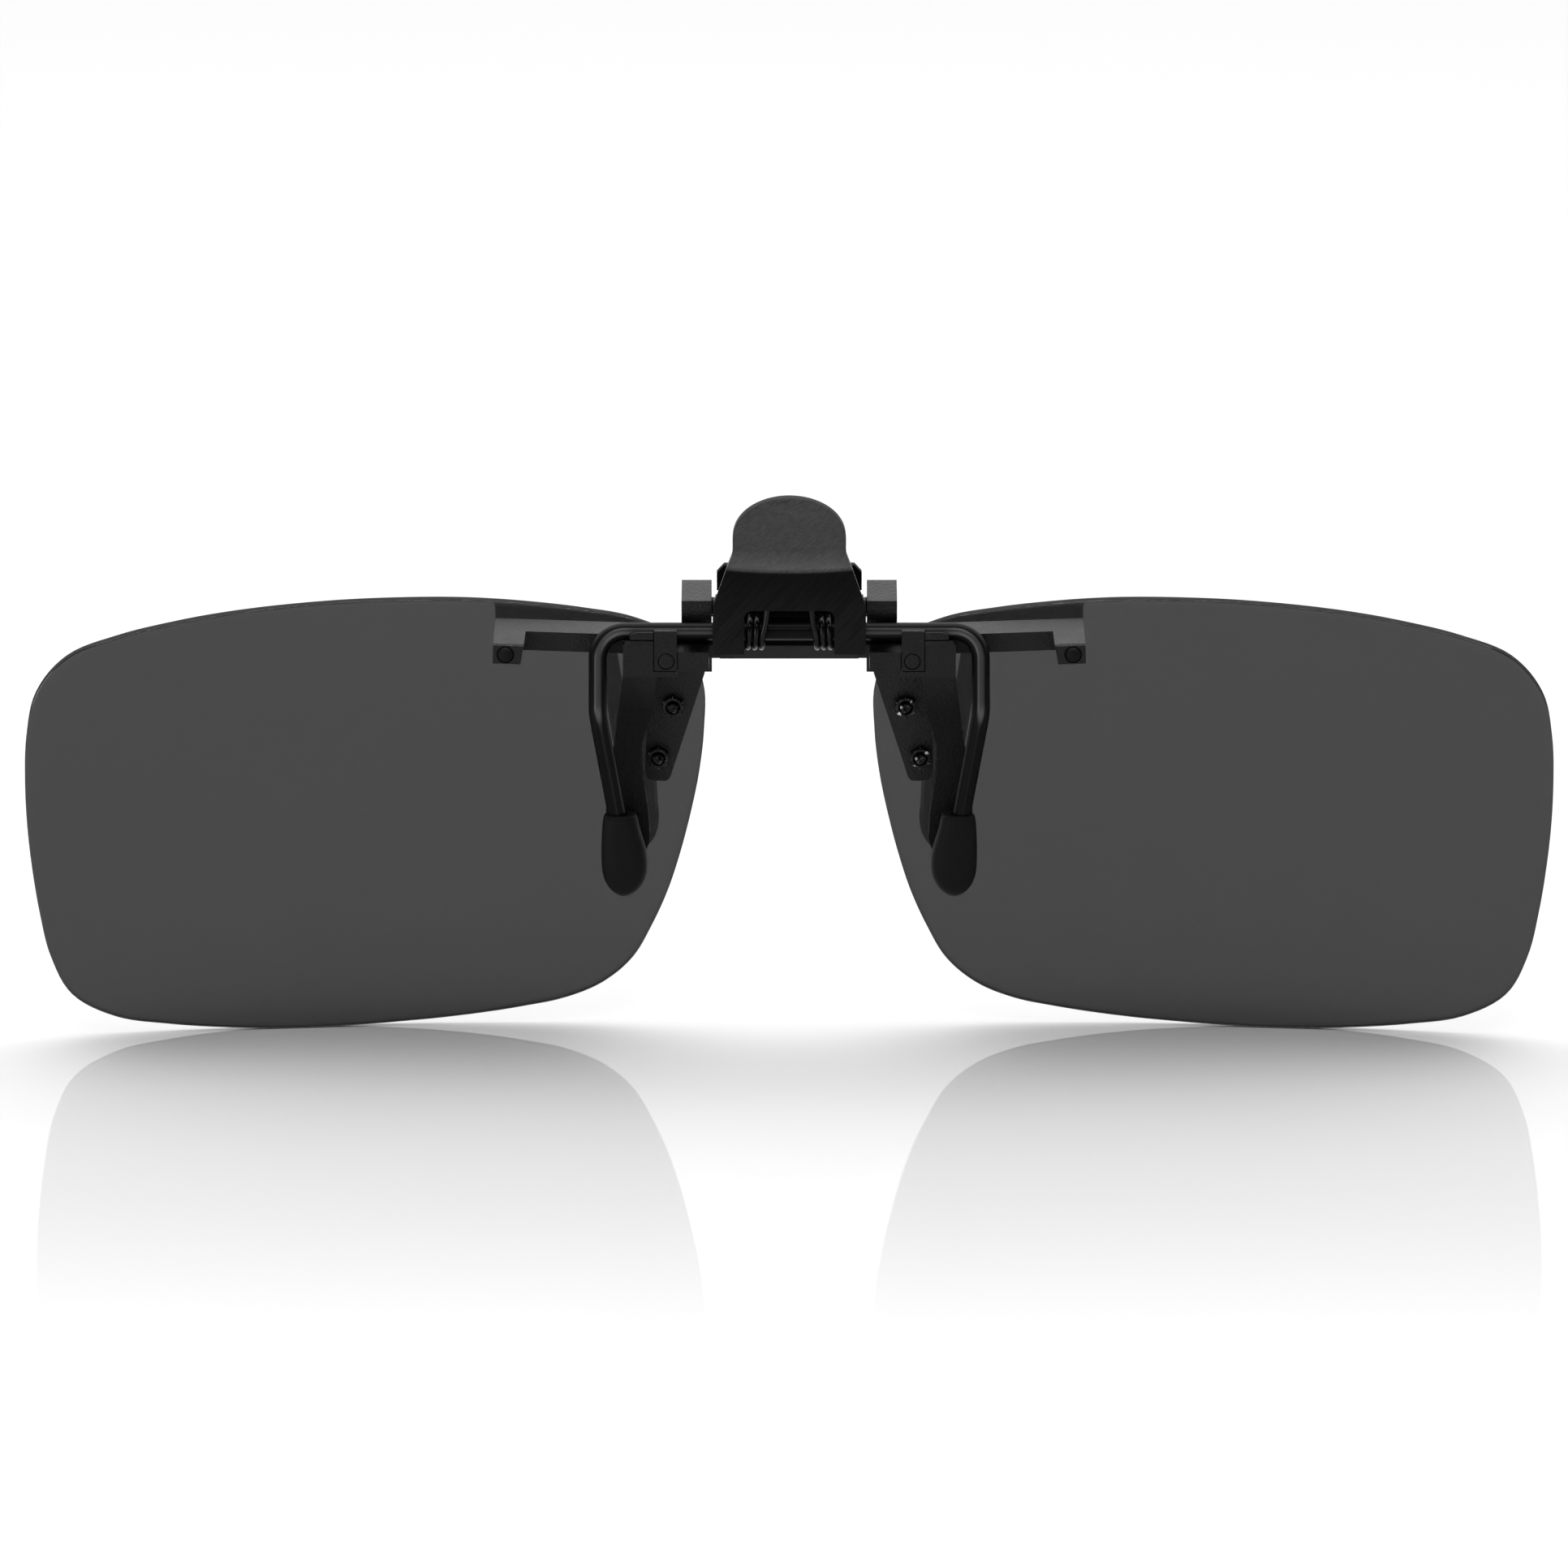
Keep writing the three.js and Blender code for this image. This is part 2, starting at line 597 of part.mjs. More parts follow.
// Bracket: knuckle round the flip pin, neck, and the tapered plate on the lens's back.
{
  const k = new THREE.Shape();
  k.moveTo(1.3, 2.23);
  k.lineTo(1.12, 1.7);
  k.quadraticCurveTo(1.15, 0.2, 2.5, -0.15);
  k.lineTo(4.1, -0.3);
  k.lineTo(4.6, -1.4);
  k.lineTo(4.75, -3.0);
  k.lineTo(4.9, -4.95);
  k.lineTo(5.9, -4.95);
  k.lineTo(5.7, -3.0);
  k.lineTo(5.55, -1.2);
  k.lineTo(5.2, -0.25);
  k.lineTo(5.2, 1.45);
  k.lineTo(4.6, 3.6);
  k.lineTo(1.3, 2.47);
  const knuckle = solid(slabYZ(k, KNUCKLE_X0, KNUCKLE_X1));
  // plate outline in its own frame (x towards the temple, z up)
  const o = new THREE.Shape();
  o.moveTo(-3.4, 6.2);
  o.lineTo(1.9, 6.2);
  o.lineTo(2.3, -4.2);
  o.quadraticCurveTo(2.3, -5.15, 1.4, -5.2);
  o.lineTo(0.5, -5.2);
  o.quadraticCurveTo(0.1, -5.15, -0.05, -4.6);
  o.lineTo(-3.1, 4.9);
  o.lineTo(-3.4, 6.2);
  const plate = solid(
    slabXZ(o, -PLATE_GAP - PLATE_T, -PLATE_GAP).applyMatrix4(plateM),
  );
  let bracket = union(knuckle, plate);
  bracket = cut(
    bracket,
    cyl("x", 6, 10, [FLIP_Y, FLIP_Z], PIN_R + 0.1, 24),
    // pilot for the bar's rivet
    cyl("y", 4.3, 6, [8.35, 0.65], 0.48, 16),
    ...SCREWS.map(([sx, sz]) =>
      solid(cylG("y", -3, 1, [sx, sz], SCREW_R + 0.08, 16).applyMatrix4(plateM)),
    ),
  );
  pair("lens_bracket", bracket, BODY);

  for (const [i, [sx, sz]] of SCREWS.entries()) {
    const which = i === 0 ? "upper" : "lower";
    const head = LENS_T + 0.42;
    const prof = [
      [0, -PLATE_GAP - PLATE_T - 1.15],
      [SCREW_R, -PLATE_GAP - PLATE_T - 1.15],
      [SCREW_R, head],
      [SCREW_HEAD_R, head],
      [SCREW_HEAD_R, head + 0.28],
      [0.75, head + 0.5],
      [0, head + 0.5],
    ].map((q) => new THREE.Vector2(...q));
    pair(
      "lens_screw_" + which,
      solid(new THREE.LatheGeometry(prof, 20).translate(sx, 0, sz).applyMatrix4(plateM)),
      STEEL,
    );
    const rc = NUT_AF / 2 / Math.cos(Math.PI / 6);
    const nut = solid(
      new THREE.CylinderGeometry(rc, rc, NUT_H, 6)
        .translate(sx, -PLATE_GAP - PLATE_T - 0.06 - NUT_H / 2, sz)
        .applyMatrix4(plateM),
    ).subtract(
      solid(cylG("y", -4, 0, [sx, sz], SCREW_R + 0.05, 16).applyMatrix4(plateM)),
    );
    pair("lens_nut_" + which, nut, STEEL);
    const washer = solid(
      cylG("y", LENS_T + 0.06, LENS_T + 0.34, [sx, sz], 1.3, 20).applyMatrix4(plateM),
    ).subtract(
      solid(cylG("y", 0, 3, [sx, sz], SCREW_R + 0.07, 16).applyMatrix4(plateM)),
    );
    pair("lens_washer_" + which, washer, RUBBER);
  }
}

// Bar that makes both lens brackets swing together, with its two rivets.
{
  const bar = cut(
    solid(
      slabXZ(
        [
          [-9.3, 0.05],
          [9.3, 0.05],
          [9.6, 0.35],
          [9.6, 1.0],
          [9.3, 1.3],
          [-9.3, 1.3],
          [-9.6, 1.0],
          [-9.6, 0.35],
        ],
        5.28,
        6.1,
      ),
    ),
    cyl("y", 5, 7, [8.35, 0.65], 0.48, 16),
    cyl("y", 5, 7, [-8.35, 0.65], 0.48, 16),
  );
  put(root, "joining_bar", bar, LEVER());
  const prof = [
    [0, 4.4],
    [0.42, 4.4],
    [0.42, 6.16],
    [0.6, 6.16],
    [0.55, 6.4],
    [0, 6.5],
  ].map((q) => new THREE.Vector2(...q));
  pair("bar_rivet", solid(new THREE.LatheGeometry(prof, 16).translate(8.35, 0, 0.65)), STEEL);
}

export default root;
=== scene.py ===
import math
import bpy
import bmesh
from mathutils import Matrix, Vector


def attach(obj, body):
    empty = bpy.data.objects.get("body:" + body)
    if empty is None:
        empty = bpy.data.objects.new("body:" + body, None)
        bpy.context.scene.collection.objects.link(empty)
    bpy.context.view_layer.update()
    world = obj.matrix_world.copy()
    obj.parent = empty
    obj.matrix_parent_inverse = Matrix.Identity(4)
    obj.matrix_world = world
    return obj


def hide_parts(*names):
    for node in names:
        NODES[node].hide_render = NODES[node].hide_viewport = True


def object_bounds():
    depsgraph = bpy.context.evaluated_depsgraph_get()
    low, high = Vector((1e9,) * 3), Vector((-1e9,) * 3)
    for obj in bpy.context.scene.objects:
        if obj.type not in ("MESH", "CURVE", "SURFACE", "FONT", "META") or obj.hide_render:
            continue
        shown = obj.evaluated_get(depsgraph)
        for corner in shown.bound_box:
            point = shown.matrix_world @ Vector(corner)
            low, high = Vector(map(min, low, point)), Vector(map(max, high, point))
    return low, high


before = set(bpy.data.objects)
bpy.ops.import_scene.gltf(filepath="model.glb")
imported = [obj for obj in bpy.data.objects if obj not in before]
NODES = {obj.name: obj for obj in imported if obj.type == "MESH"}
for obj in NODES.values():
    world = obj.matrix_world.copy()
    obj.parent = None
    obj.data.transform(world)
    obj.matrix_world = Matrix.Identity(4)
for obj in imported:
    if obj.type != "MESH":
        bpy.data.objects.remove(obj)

MM = 0.001


def plain(box):
    return [[float(c) for c in corner] for corner in box]


CAD_BOX = plain(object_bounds())
scene = bpy.context.scene
scene.view_settings.view_transform = "Standard"
scene.view_settings.look = "None"

# ------------------------------------------------------------------ dimensions, in millimetres, as in the CAD model
WIRE_R = 0.8
HOOK_X = 17.04
HOOK_KINK = (HOOK_X, -2.5, -6.95)
HOOK_LOW = (15.4, -0.95, -16.7)
HOOK_END = (14.72, -0.95, -20.9)
FLIP_Y, FLIP_Z = 3.0, 1.6
LEVER_T, LEVER_Y, LEVER_HALF = 0.5, -1.5, 6.8
TAB_HALF, TAB_TILT, TAB_LEN, TAB_Z, BEND_HALF = 4.98, 32.0, 9.4, 5.94, 5.66
LENS_T, LENS_R = 1.1, 220.0
LENS_C = (37.59, 6.72, -18.7)
LENS_WRAP = 4.0
LENS_OUTLINE = [
    31.03, 31.41, 32.03, 32.45, 31.34, 28.48, 25.87, 23.87, 22.36, 21.28, 20.57, 20.2,
    20.12, 20.34, 20.89, 21.78, 23.03, 24.74, 27.05, 29.95, 32.25, 32.25, 30.93, 29.68,
    28.65, 27.96, 27.54, 27.21, 26.95, 25.95, 24.34, 22.62, 21.31, 20.37, 19.77, 19.46,
    19.47, 19.76, 20.37, 21.29, 22.59, 24.35, 26.67, 29.53, 31.52, 31.6, 31.15, 30.93,
]
PLATE_T, PLATE_GAP, PLATE_AT = 0.8, 0.3, (-26.9, 8.6)
SCREWS = {"upper": (-0.3, 1.95), "lower": (1.05, -2.85)}
SCREW_R, SCREW_HEAD_R, NUT_AF, NUT_H = 0.5, 1.15, 1.8, 0.9
SPRING_WIRE, SPRING_R, SPRING_TURNS, SPRING_PITCH = 0.55, 1.42, 2.25, 0.6


# ------------------------------------------------------------------ mesh helpers
def make(name, verts, faces, body, material, replaces=(), smooth=30.0, mirror=False):
    """A mesh object from millimetre coordinates, riding on its body."""
    if mirror:
        verts = [(-v[0], v[1], v[2]) for v in verts]
        faces = [tuple(reversed(f)) for f in faces]
    me = bpy.data.meshes.new(name)
    me.from_pydata([(v[0] * MM, v[1] * MM, v[2] * MM) for v in verts], [], faces)
    me.validate()
    bm = bmesh.new()
    bm.from_mesh(me)
    bmesh.ops.recalc_face_normals(bm, faces=bm.faces)
    bm.to_mesh(me)
    bm.free()
    return finish_piece(name, me, body, material, replaces, smooth)


def finish_piece(name, me, body, material, replaces=(), smooth=30.0):
    ob = bpy.data.objects.new(name, me)
    scene.collection.objects.link(ob)
    for p in me.polygons:
        p.use_smooth = True
    me.set_sharp_from_angle(angle=math.radians(smooth))
    me.materials.append(material)
    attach(ob, body)
    if replaces:
        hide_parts(*replaces)
    return ob


def rings_mesh(rings, cap0=True, cap1=True):
    """Quads between closed rings of equal length, with fans at the ends."""
    verts, faces = [], []
    n = len(rings[0])
    for r in rings:
        verts += [tuple(p) for p in r]
    for i in range(len(rings) - 1):
        for j in range(n):
            k = (j + 1) % n
            faces.append((i * n + j, i * n + k, (i + 1) * n + k, (i + 1) * n + j))
    if cap0:
        c = sum((Vector(p) for p in rings[0]), Vector()) / n
        verts.append(tuple(c))
        faces += [(len(verts) - 1, (j + 1) % n, j) for j in range(n)]
    if cap1:
        c = sum((Vector(p) for p in rings[-1]), Vector()) / n
        verts.append(tuple(c))
        b = (len(rings) - 1) * n
        faces += [(len(verts) - 1, b + j, b + (j + 1) % n) for j in range(n)]
    return verts, faces


def fillet(points, radii, step=0.3):
    """A polyline with true arcs at its inner corners."""
    P = [Vector(p) for p in points]
    out = [P[0]]
    for i in range(1, len(P) - 1):
        a, b = (P[i - 1] - P[i]).normalized(), (P[i + 1] - P[i]).normalized()
        half = a.angle(b) / 2
        r = radii[i - 1]
        back = r / math.tan(half)
        centre = P[i] + (a + b).normalized() * (r / math.sin(half))
        s, e = P[i] + a * back, P[i] + b * back
        u, w = (s - centre), (e - centre)
        ang = u.angle(w)
        axis = u.cross(w).normalized()
        n = max(3, int(ang * r / step))
        for k in range(n + 1):
            out.append(centre + Matrix.Rotation(ang * k / n, 3, axis) @ u)
    out.append(P[-1])
    return out


def resample(points, step):
    P = [Vector(p) for p in points]
    out = [P[0]]
    for a, b in zip(P, P[1:]):
        d = (b - a).length
        if d < 1e-6:
            continue
        n = max(1, int(math.ceil(d / step)))
        out += [a.lerp(b, k / n) for k in range(1, n + 1)]
    return out


def sweep(points, r, sides, round_ends=0.0):
    """Rings of a round rod along points, with edges of the ends rounded over."""
    P = [Vector(p) for p in points]
    T = []
    for i in range(len(P)):
        a = P[max(0, i - 1)]
        b = P[min(len(P) - 1, i + 1)]
        T.append((b - a).normalized())
    ref = Vector((0, 0, 1)) if abs(T[0].z) < 0.9 else Vector((0, 1, 0))
    n = T[0].cross(ref).normalized()
    rings = []

    def ring(c, t, nn, rad):
        bb = t.cross(nn).normalized()
        return [c + nn * (rad * math.cos(2 * math.pi * k / sides)) + bb * (rad * math.sin(2 * math.pi * k / sides)) for k in range(sides)]

    frames = []
    for i in range(len(P)):
        if i:
            ax = T[i - 1].cross(T[i])
            if ax.length > 1e-9:
                n = Matrix.Rotation(T[i - 1].angle(T[i]), 3, ax.normalized()) @ n
        n = (n - T[i] * n.dot(T[i])).normalized()
        frames.append((P[i], T[i], n.copy()))
    e = round_ends
    if e:
        c, t, nn = frames[0]
        for k in (0.0, 0.35, 0.7):
            a = k * math.pi / 2
            rings.append(ring(c - t * 0 + t * (e * (1 - math.sin(a)) * 0) - t * 0 + t * (e - e * math.sin(a)) * 0 + t * 0, t, nn, r - e + e * math.sin(a)))
    for c, t, nn in frames:
        rings.append(ring(c, t, nn, r))
    if e:
        # roll the end rings over: move the narrow rings inwards along the rod's end
        c, t, nn = frames[0]
        rings[0:3] = [ring(c - t * (e * math.cos(a)), t, nn, r - e + e * math.sin(a)) for a in (0.0, 0.5, 1.0)]
        c, t, nn = frames[-1]
        rings += [ring(c + t * (e * math.cos(a)), t, nn, r - e + e * math.sin(a)) for a in (1.0, 0.5, 0.0)]
    return rings


def catmull(points, per=8):
    P = [Vector(p) for p in points]
    Q = [P[0] * 2 - P[1]] + P + [P[-1] * 2 - P[-2]]
    out = []
    for i in range(1, len(Q) - 2):
        p0, p1, p2, p3 = Q[i - 1], Q[i], Q[i + 1], Q[i + 2]
        for k in range(per):
            t = k / per
            out.append(0.5 * ((2 * p1) + (p2 - p0) * t + (2 * p0 - 5 * p1 + 4 * p2 - p3) * t * t + (3 * p1 - p0 - 3 * p2 + p3) * t ** 3))
    out.append(P[-1])
    return out


def lathe(profile, seg=48):
    """Rings about local Y: profile is (radius, along) pairs, not on the axis at either end."""
    return [[Vector((r * math.cos(2 * math.pi * k / seg), a, r * math.sin(2 * math.pi * k / seg))) for k in range(seg)] for r, a in profile]


def moved(rings, m):
    return [[m @ p for p in r] for r in rings]


# ------------------------------------------------------------------ materials
def principled(name):
    m = bpy.data.materials.new(name)
    m.use_nodes = True
    return m, m.node_tree, m.node_tree.nodes["Principled BSDF"]


def node(t, kind, **values):
    n = t.nodes.new(kind)
    for k, v in values.items():
        if hasattr(n, k):
            setattr(n, k, v)
        else:
            n.inputs[k.replace("_", " ")].default_value = v
    return n


def ramp(t, source, a, b, lo, hi):
    """Maps source from a..b to lo..hi."""
    n = t.nodes.new("ShaderNodeMapRange")
    n.inputs["From Min"].default_value = a
    n.inputs["From Max"].default_value = b
    n.inputs["To Min"].default_value = lo
    n.inputs["To Max"].default_value = hi
    t.links.new(source, n.inputs["Value"])
    return n.outputs["Result"]


def noise(t, vector, scale, detail=2.0, rough=0.5):
    n = t.nodes.new("ShaderNodeTexNoise")
    n.inputs["Scale"].default_value = scale
    n.inputs["Detail"].default_value = detail
    n.inputs["Roughness"].default_value = rough
    if vector is not None:
        t.links.new(vector, n.inputs["Vector"])
    return n.outputs["Fac"]


def black(name, colour, rough, spec, grain=0.0, grain_scale=5000.0, rough_var=0.06, coat=0.0, metallic=0.0, blotch=700.0, painted_shading=None):
    """A black surface: slightly mottled colour, uneven roughness and a fine moulded grain. painted_shading is (axis,
    from, to, share before, share after): painted shade that scales colour and specular along the piece.
    """
    m, t, b = principled(name)
    co = t.nodes.new("ShaderNodeTexCoord").outputs["Object"]
    cloud = noise(t, co, blotch, 4.0)
    fine = noise(t, co, grain_scale, 2.0, 0.6)
    mix = t.nodes.new("ShaderNodeMix")
    mix.data_type = "RGBA"
    mix.inputs["A"].default_value = (*[c * 0.75 for c in colour], 1)
    mix.inputs["B"].default_value = (*[c * 1.3 for c in colour], 1)
    t.links.new(cloud, mix.inputs["Factor"])
    tone = mix.outputs["Result"]
    b.inputs["Specular IOR Level"].default_value = spec
    # painted shade: colour and specular scaled down along one axis of the piece
    if painted_shading:
        axis, start, end, before, after = painted_shading
        along = t.nodes.new("ShaderNodeSeparateXYZ")
        t.links.new(co, along.inputs[0])
        dim = t.nodes.new("ShaderNodeVectorMath")
        dim.operation = "SCALE"
        t.links.new(tone, dim.inputs[0])
        t.links.new(ramp(t, along.outputs[axis], start, end, before, after), dim.inputs["Scale"])
        tone = dim.outputs["Vector"]
        t.links.new(ramp(t, along.outputs[axis], start, end, spec * before, spec * after), b.inputs["Specular IOR Level"])
    t.links.new(tone, b.inputs["Base Color"])
    both = t.nodes.new("ShaderNodeMath")
    both.operation = "ADD"
    t.links.new(cloud, both.inputs[0])
    t.links.new(fine, both.inputs[1])
    t.links.new(ramp(t, both.outputs[0], 0.5, 1.5, rough - rough_var, rough + rough_var), b.inputs["Roughness"])
    b.inputs["Metallic"].default_value = metallic
    b.inputs["Coat Weight"].default_value = coat
    b.inputs["Coat Roughness"].default_value = 0.08
    if grain:
        bump = t.nodes.new("ShaderNodeBump")
        bump.inputs["Strength"].default_value = 0.8
        bump.inputs["Distance"].default_value = grain
        t.links.new(fine, bump.inputs["Height"])
        t.links.new(bump.outputs["Normal"], b.inputs["Normal"])
    return m


PLASTIC = black("moulded_black", (0.0055, 0.0055, 0.006), 0.40, 0.16, grain=0.00012, grain_scale=4200.0, rough_var=0.1)
# painted shade: the lower leg is darker and duller below about -7.5 mm
SIDE = black("moulded_black_side", (0.0055, 0.0055, 0.006), 0.40, 0.17, grain=0.00012, grain_scale=4200.0, rough_var=0.1, painted_shading=("Z", -0.0075, -0.0045, 0.55, 1.0))
ARM = black("moulded_black_arm", (0.0074, 0.0074, 0.0079), 0.38, 0.21, grain=0.00012, grain_scale=4200.0, rough_var=0.1)
# painted shade: the bridge above its lower bar is darkened to near black where the lever shades it
BRIDGE_PAINTED_SHADE = black("bridge_painted_shade_black", (0.0130, 0.0130, 0.0140), 0.5, 0.2, grain=0.00003, grain_scale=7000.0, painted_shading=("Z", -0.0019, -0.0017, 1.0, 0.12))
RUBBER = black("rubber_black", (0.0036, 0.0036, 0.0038), 0.60, 0.09, grain=0.00002, grain_scale=9000.0)
WIRE = black("wire_black", (0.0025, 0.0025, 0.0028), 0.34, 0.22, grain=0.000004, grain_scale=2500.0, rough_var=0.03)

NUT = black("nut_black", (0.0012, 0.0012, 0.0015), 0.12, 0.14, grain=0.000004, grain_scale=6000.0, coat=0.0)


def rubbed_edges(m, sharp, patch, steel):
    """Lets bare steel show where the tool has rubbed the blacking off the sharp corners."""
    t = m.node_tree
    b = t.nodes["Principled BSDF"]
    corner = t.nodes.new("ShaderNodeNewGeometry").outputs["Pointiness"]
    where = noise(t, t.nodes.new("ShaderNodeTexCoord").outputs["Object"], patch, 1.0)
    both = t.nodes.new("ShaderNodeMath")
    both.operation = "MULTIPLY"
    t.links.new(ramp(t, corner, sharp, sharp + 0.05, 0.0, 1.0), both.inputs[0])
    t.links.new(ramp(t, where, 0.44, 0.60, 0.0, 1.0), both.inputs[1])
    t.links.new(both.outputs[0], b.inputs["Metallic"])
    was = b.inputs["Base Color"].links[0].from_socket
    mix = t.nodes.new("ShaderNodeMix")
    mix.data_type = "RGBA"
    mix.inputs["B"].default_value = (steel, steel, steel, 1)
    t.links.new(was, mix.inputs["A"])
    t.links.new(both.outputs[0], mix.inputs["Factor"])
    t.links.new(mix.outputs["Result"], b.inputs["Base Color"])


rubbed_edges(NUT, 0.56, 1600.0, 0.40)


def painted_highlight_band(m, turn_deg, lo, hi, dull, bright):
    """Paints a highlight as raised specular on the strip of a round wire that faces out, turned a little to one flank,
    and leaves the flanks dull.
    """
    t = m.node_tree
    b = t.nodes["Principled BSDF"]
    normal = t.nodes.new("ShaderNodeNewGeometry").outputs["Normal"]
    turn = t.nodes.new("ShaderNodeVectorRotate")
    turn.rotation_type = "Z_AXIS"
    turn.inputs["Angle"].default_value = math.radians(turn_deg)
    t.links.new(normal, turn.inputs["Vector"])
    face = t.nodes.new("ShaderNodeLayerWeight")
    face.inputs["Blend"].default_value = 0.5
    t.links.new(turn.outputs["Vector"], face.inputs["Normal"])
    strip = ramp(t, face.outputs["Facing"], lo, hi, 1.0, 0.0)
    # painted shade where the lever covers it, a painted highlight on the two hanging legs, painted shade again towards
    # the tips
    along = t.nodes.new("ShaderNodeSeparateXYZ")
    t.links.new(t.nodes.new("ShaderNodeTexCoord").outputs["Object"], along.inputs[0])
    out = t.nodes.new("ShaderNodeMath")
    out.operation = "ABSOLUTE"
    t.links.new(along.outputs["X"], out.inputs[0])
    open_part = t.nodes.new("ShaderNodeMath")
    t.links.new(ramp(t, out.outputs[0], 0.0052, 0.0068, 0.0, 0.45), open_part.inputs[0])
    t.links.new(ramp(t, out.outputs[0], 0.0138, 0.0155, 0.0, 0.55), open_part.inputs[1])
    upper = t.nodes.new("ShaderNodeMath")
    upper.operation = "MULTIPLY"
    t.links.new(open_part.outputs[0], upper.inputs[0])
    t.links.new(ramp(t, along.outputs["Z"], -0.0088, -0.0060, 0.3, 1.0), upper.inputs[1])
    painted_shading = t.nodes.new("ShaderNodeMath")
    painted_shading.operation = "MULTIPLY"
    t.links.new(strip, painted_shading.inputs[0])
    t.links.new(upper.outputs[0], painted_shading.inputs[1])
    t.links.new(ramp(t, painted_shading.outputs[0], 0.0, 1.0, dull, bright), b.inputs["Specular IOR Level"])


painted_highlight_band(WIRE, -3.0, 0.01, 0.10, 0.06, 1.35)
OXIDE = black("oxide_black", (0.0025, 0.0025, 0.003), 0.15, 0.16, grain=0.000006, grain_scale=6000.0)


def brushed(name):
    """Satin coated sheet with a faint diagonal brushing, a painted highlight above the bend and painted shade just
    under it.
    """
    m, t, b = principled(name)
    co = t.nodes.new("ShaderNodeTexCoord").outputs["Object"]
    turn = t.nodes.new("ShaderNodeMapping")
    turn.inputs["Rotation"].default_value = (0, math.radians(48), 0)
    t.links.new(co, turn.inputs["Vector"])
    squeeze = t.nodes.new("ShaderNodeMapping")
    squeeze.inputs["Scale"].default_value = (0.10, 1, 1)
    t.links.new(turn.outputs["Vector"], squeeze.inputs["Vector"])
    lines = noise(t, squeeze.outputs["Vector"], 3800.0, 1.0, 0.5)
    cloud = noise(t, co, 420.0, 3.0)
    mix = t.nodes.new("ShaderNodeMix")
    mix.data_type = "RGBA"
    mix.inputs["A"].default_value = (0.0026, 0.0026, 0.0029, 1)
    mix.inputs["B"].default_value = (0.0078, 0.0078, 0.0084, 1)
    t.links.new(mix.outputs["Result"], b.inputs["Base Color"])
    both = t.nodes.new("ShaderNodeMath")
    both.operation = "ADD"
    t.links.new(lines, both.inputs[0])
    t.links.new(cloud, both.inputs[1])
    t.links.new(ramp(t, both.outputs[0], 0.6, 1.4, 0.20, 0.42), b.inputs["Roughness"])
    # painted highlight above the bend, dull below it
    zed = t.nodes.new("ShaderNodeSeparateXYZ")
    t.links.new(co, zed.inputs[0])

    def math_node(op, a, c):
        n = t.nodes.new("ShaderNodeMath")
        n.operation = op
        t.links.new(a, n.inputs[0])
        if isinstance(c, float):
            n.inputs[1].default_value = c
        else:
            t.links.new(c, n.inputs[1])
        return n.outputs[0]

    x2 = math_node("MULTIPLY", zed.outputs["X"], zed.outputs["X"])
    height = math_node("SUBTRACT", zed.outputs["Z"], math_node("MULTIPLY", x2, 9.0))
    rise = ramp(t, height, 0.0057, 0.0062, 0.04, 1.0)
    fall = ramp(t, height, 0.0062, 0.0082, 0.0, 0.50)
    # painted shade: darkest in the crease just under the bend
    lower = ramp(t, height, -0.0016, 0.0054, 2.4, 0.05)
    upper = ramp(t, height, 0.0057, 0.0062, 0.0, 0.95)
    t.links.new(math_node("MULTIPLY", lines, math_node("ADD", lower, upper)), mix.inputs["Factor"])
    stroke = ramp(t, lines, 0.35, 0.65, 0.87, 1.13)
    t.links.new(math_node("MULTIPLY", math_node("SUBTRACT", rise, fall), stroke), b.inputs["Specular IOR Level"])
    bump = t.nodes.new("ShaderNodeBump")
    bump.inputs["Strength"].default_value = 0.8
    bump.inputs["Distance"].default_value = 0.000025
    t.links.new(lines, bump.inputs["Height"])
    t.links.new(bump.outputs["Normal"], b.inputs["Normal"])
    return m


SHEET = brushed("lever_satin_black_painted_sheen")
EDGE = black("sheared_edge_black", (0.0045, 0.0045, 0.0049), 0.42, 0.2, grain=0.000006, grain_scale=7000.0)
GROUND = black("ground_lens_edge", (0.036, 0.036, 0.037), 0.9, 0.0, grain=0.00001, grain_scale=8000.0)


def tinted(name):
    """Dark neutral tinted lens: a polished surface over a body that lets a little light through."""
    m, t, b = principled(name)
    co = t.nodes.new("ShaderNodeTexCoord").outputs["Object"]
    cloud = noise(t, co, 60.0, 2.0)
    mix = t.nodes.new("ShaderNodeMix")
    mix.data_type = "RGBA"
    mix.inputs["A"].default_value = (0.0184, 0.0184, 0.0187, 1)
    mix.inputs["B"].default_value = (0.0206, 0.0206, 0.0209, 1)
    t.links.new(cloud, mix.inputs["Factor"])
    t.links.new(mix.outputs["Result"], b.inputs["Base Color"])
    t.links.new(ramp(t, cloud, 0.3, 0.7, 0.012, 0.02), b.inputs["Roughness"])
    b.inputs["IOR"].default_value = 1.56
    b.inputs["Transmission Weight"].default_value = 1.0
    return m


TINT = tinted("tinted_lens")

# ------------------------------------------------------------------ lenses
LENS_M = Matrix.Translation(Vector(LENS_C)) @ Matrix.Rotation(math.radians(-LENS_WRAP), 4, "Z")


def outline_radius(a):
    """Smooth closed outline through the table of radii."""
    n = len(LENS_OUTLINE)
    f = (a / (2 * math.pi) * n) % n
    i = int(f)
    t = f - i
    p0, p1, p2, p3 = (LENS_OUTLINE[(i + k) % n] for k in (-1, 0, 1, 2))
    return 0.5 * (2 * p1 + (p2 - p0) * t + (2 * p0 - 5 * p1 + 4 * p2 - p3) * t * t + (3 * p1 - p0 - 3 * p2 + p3) * t ** 3)


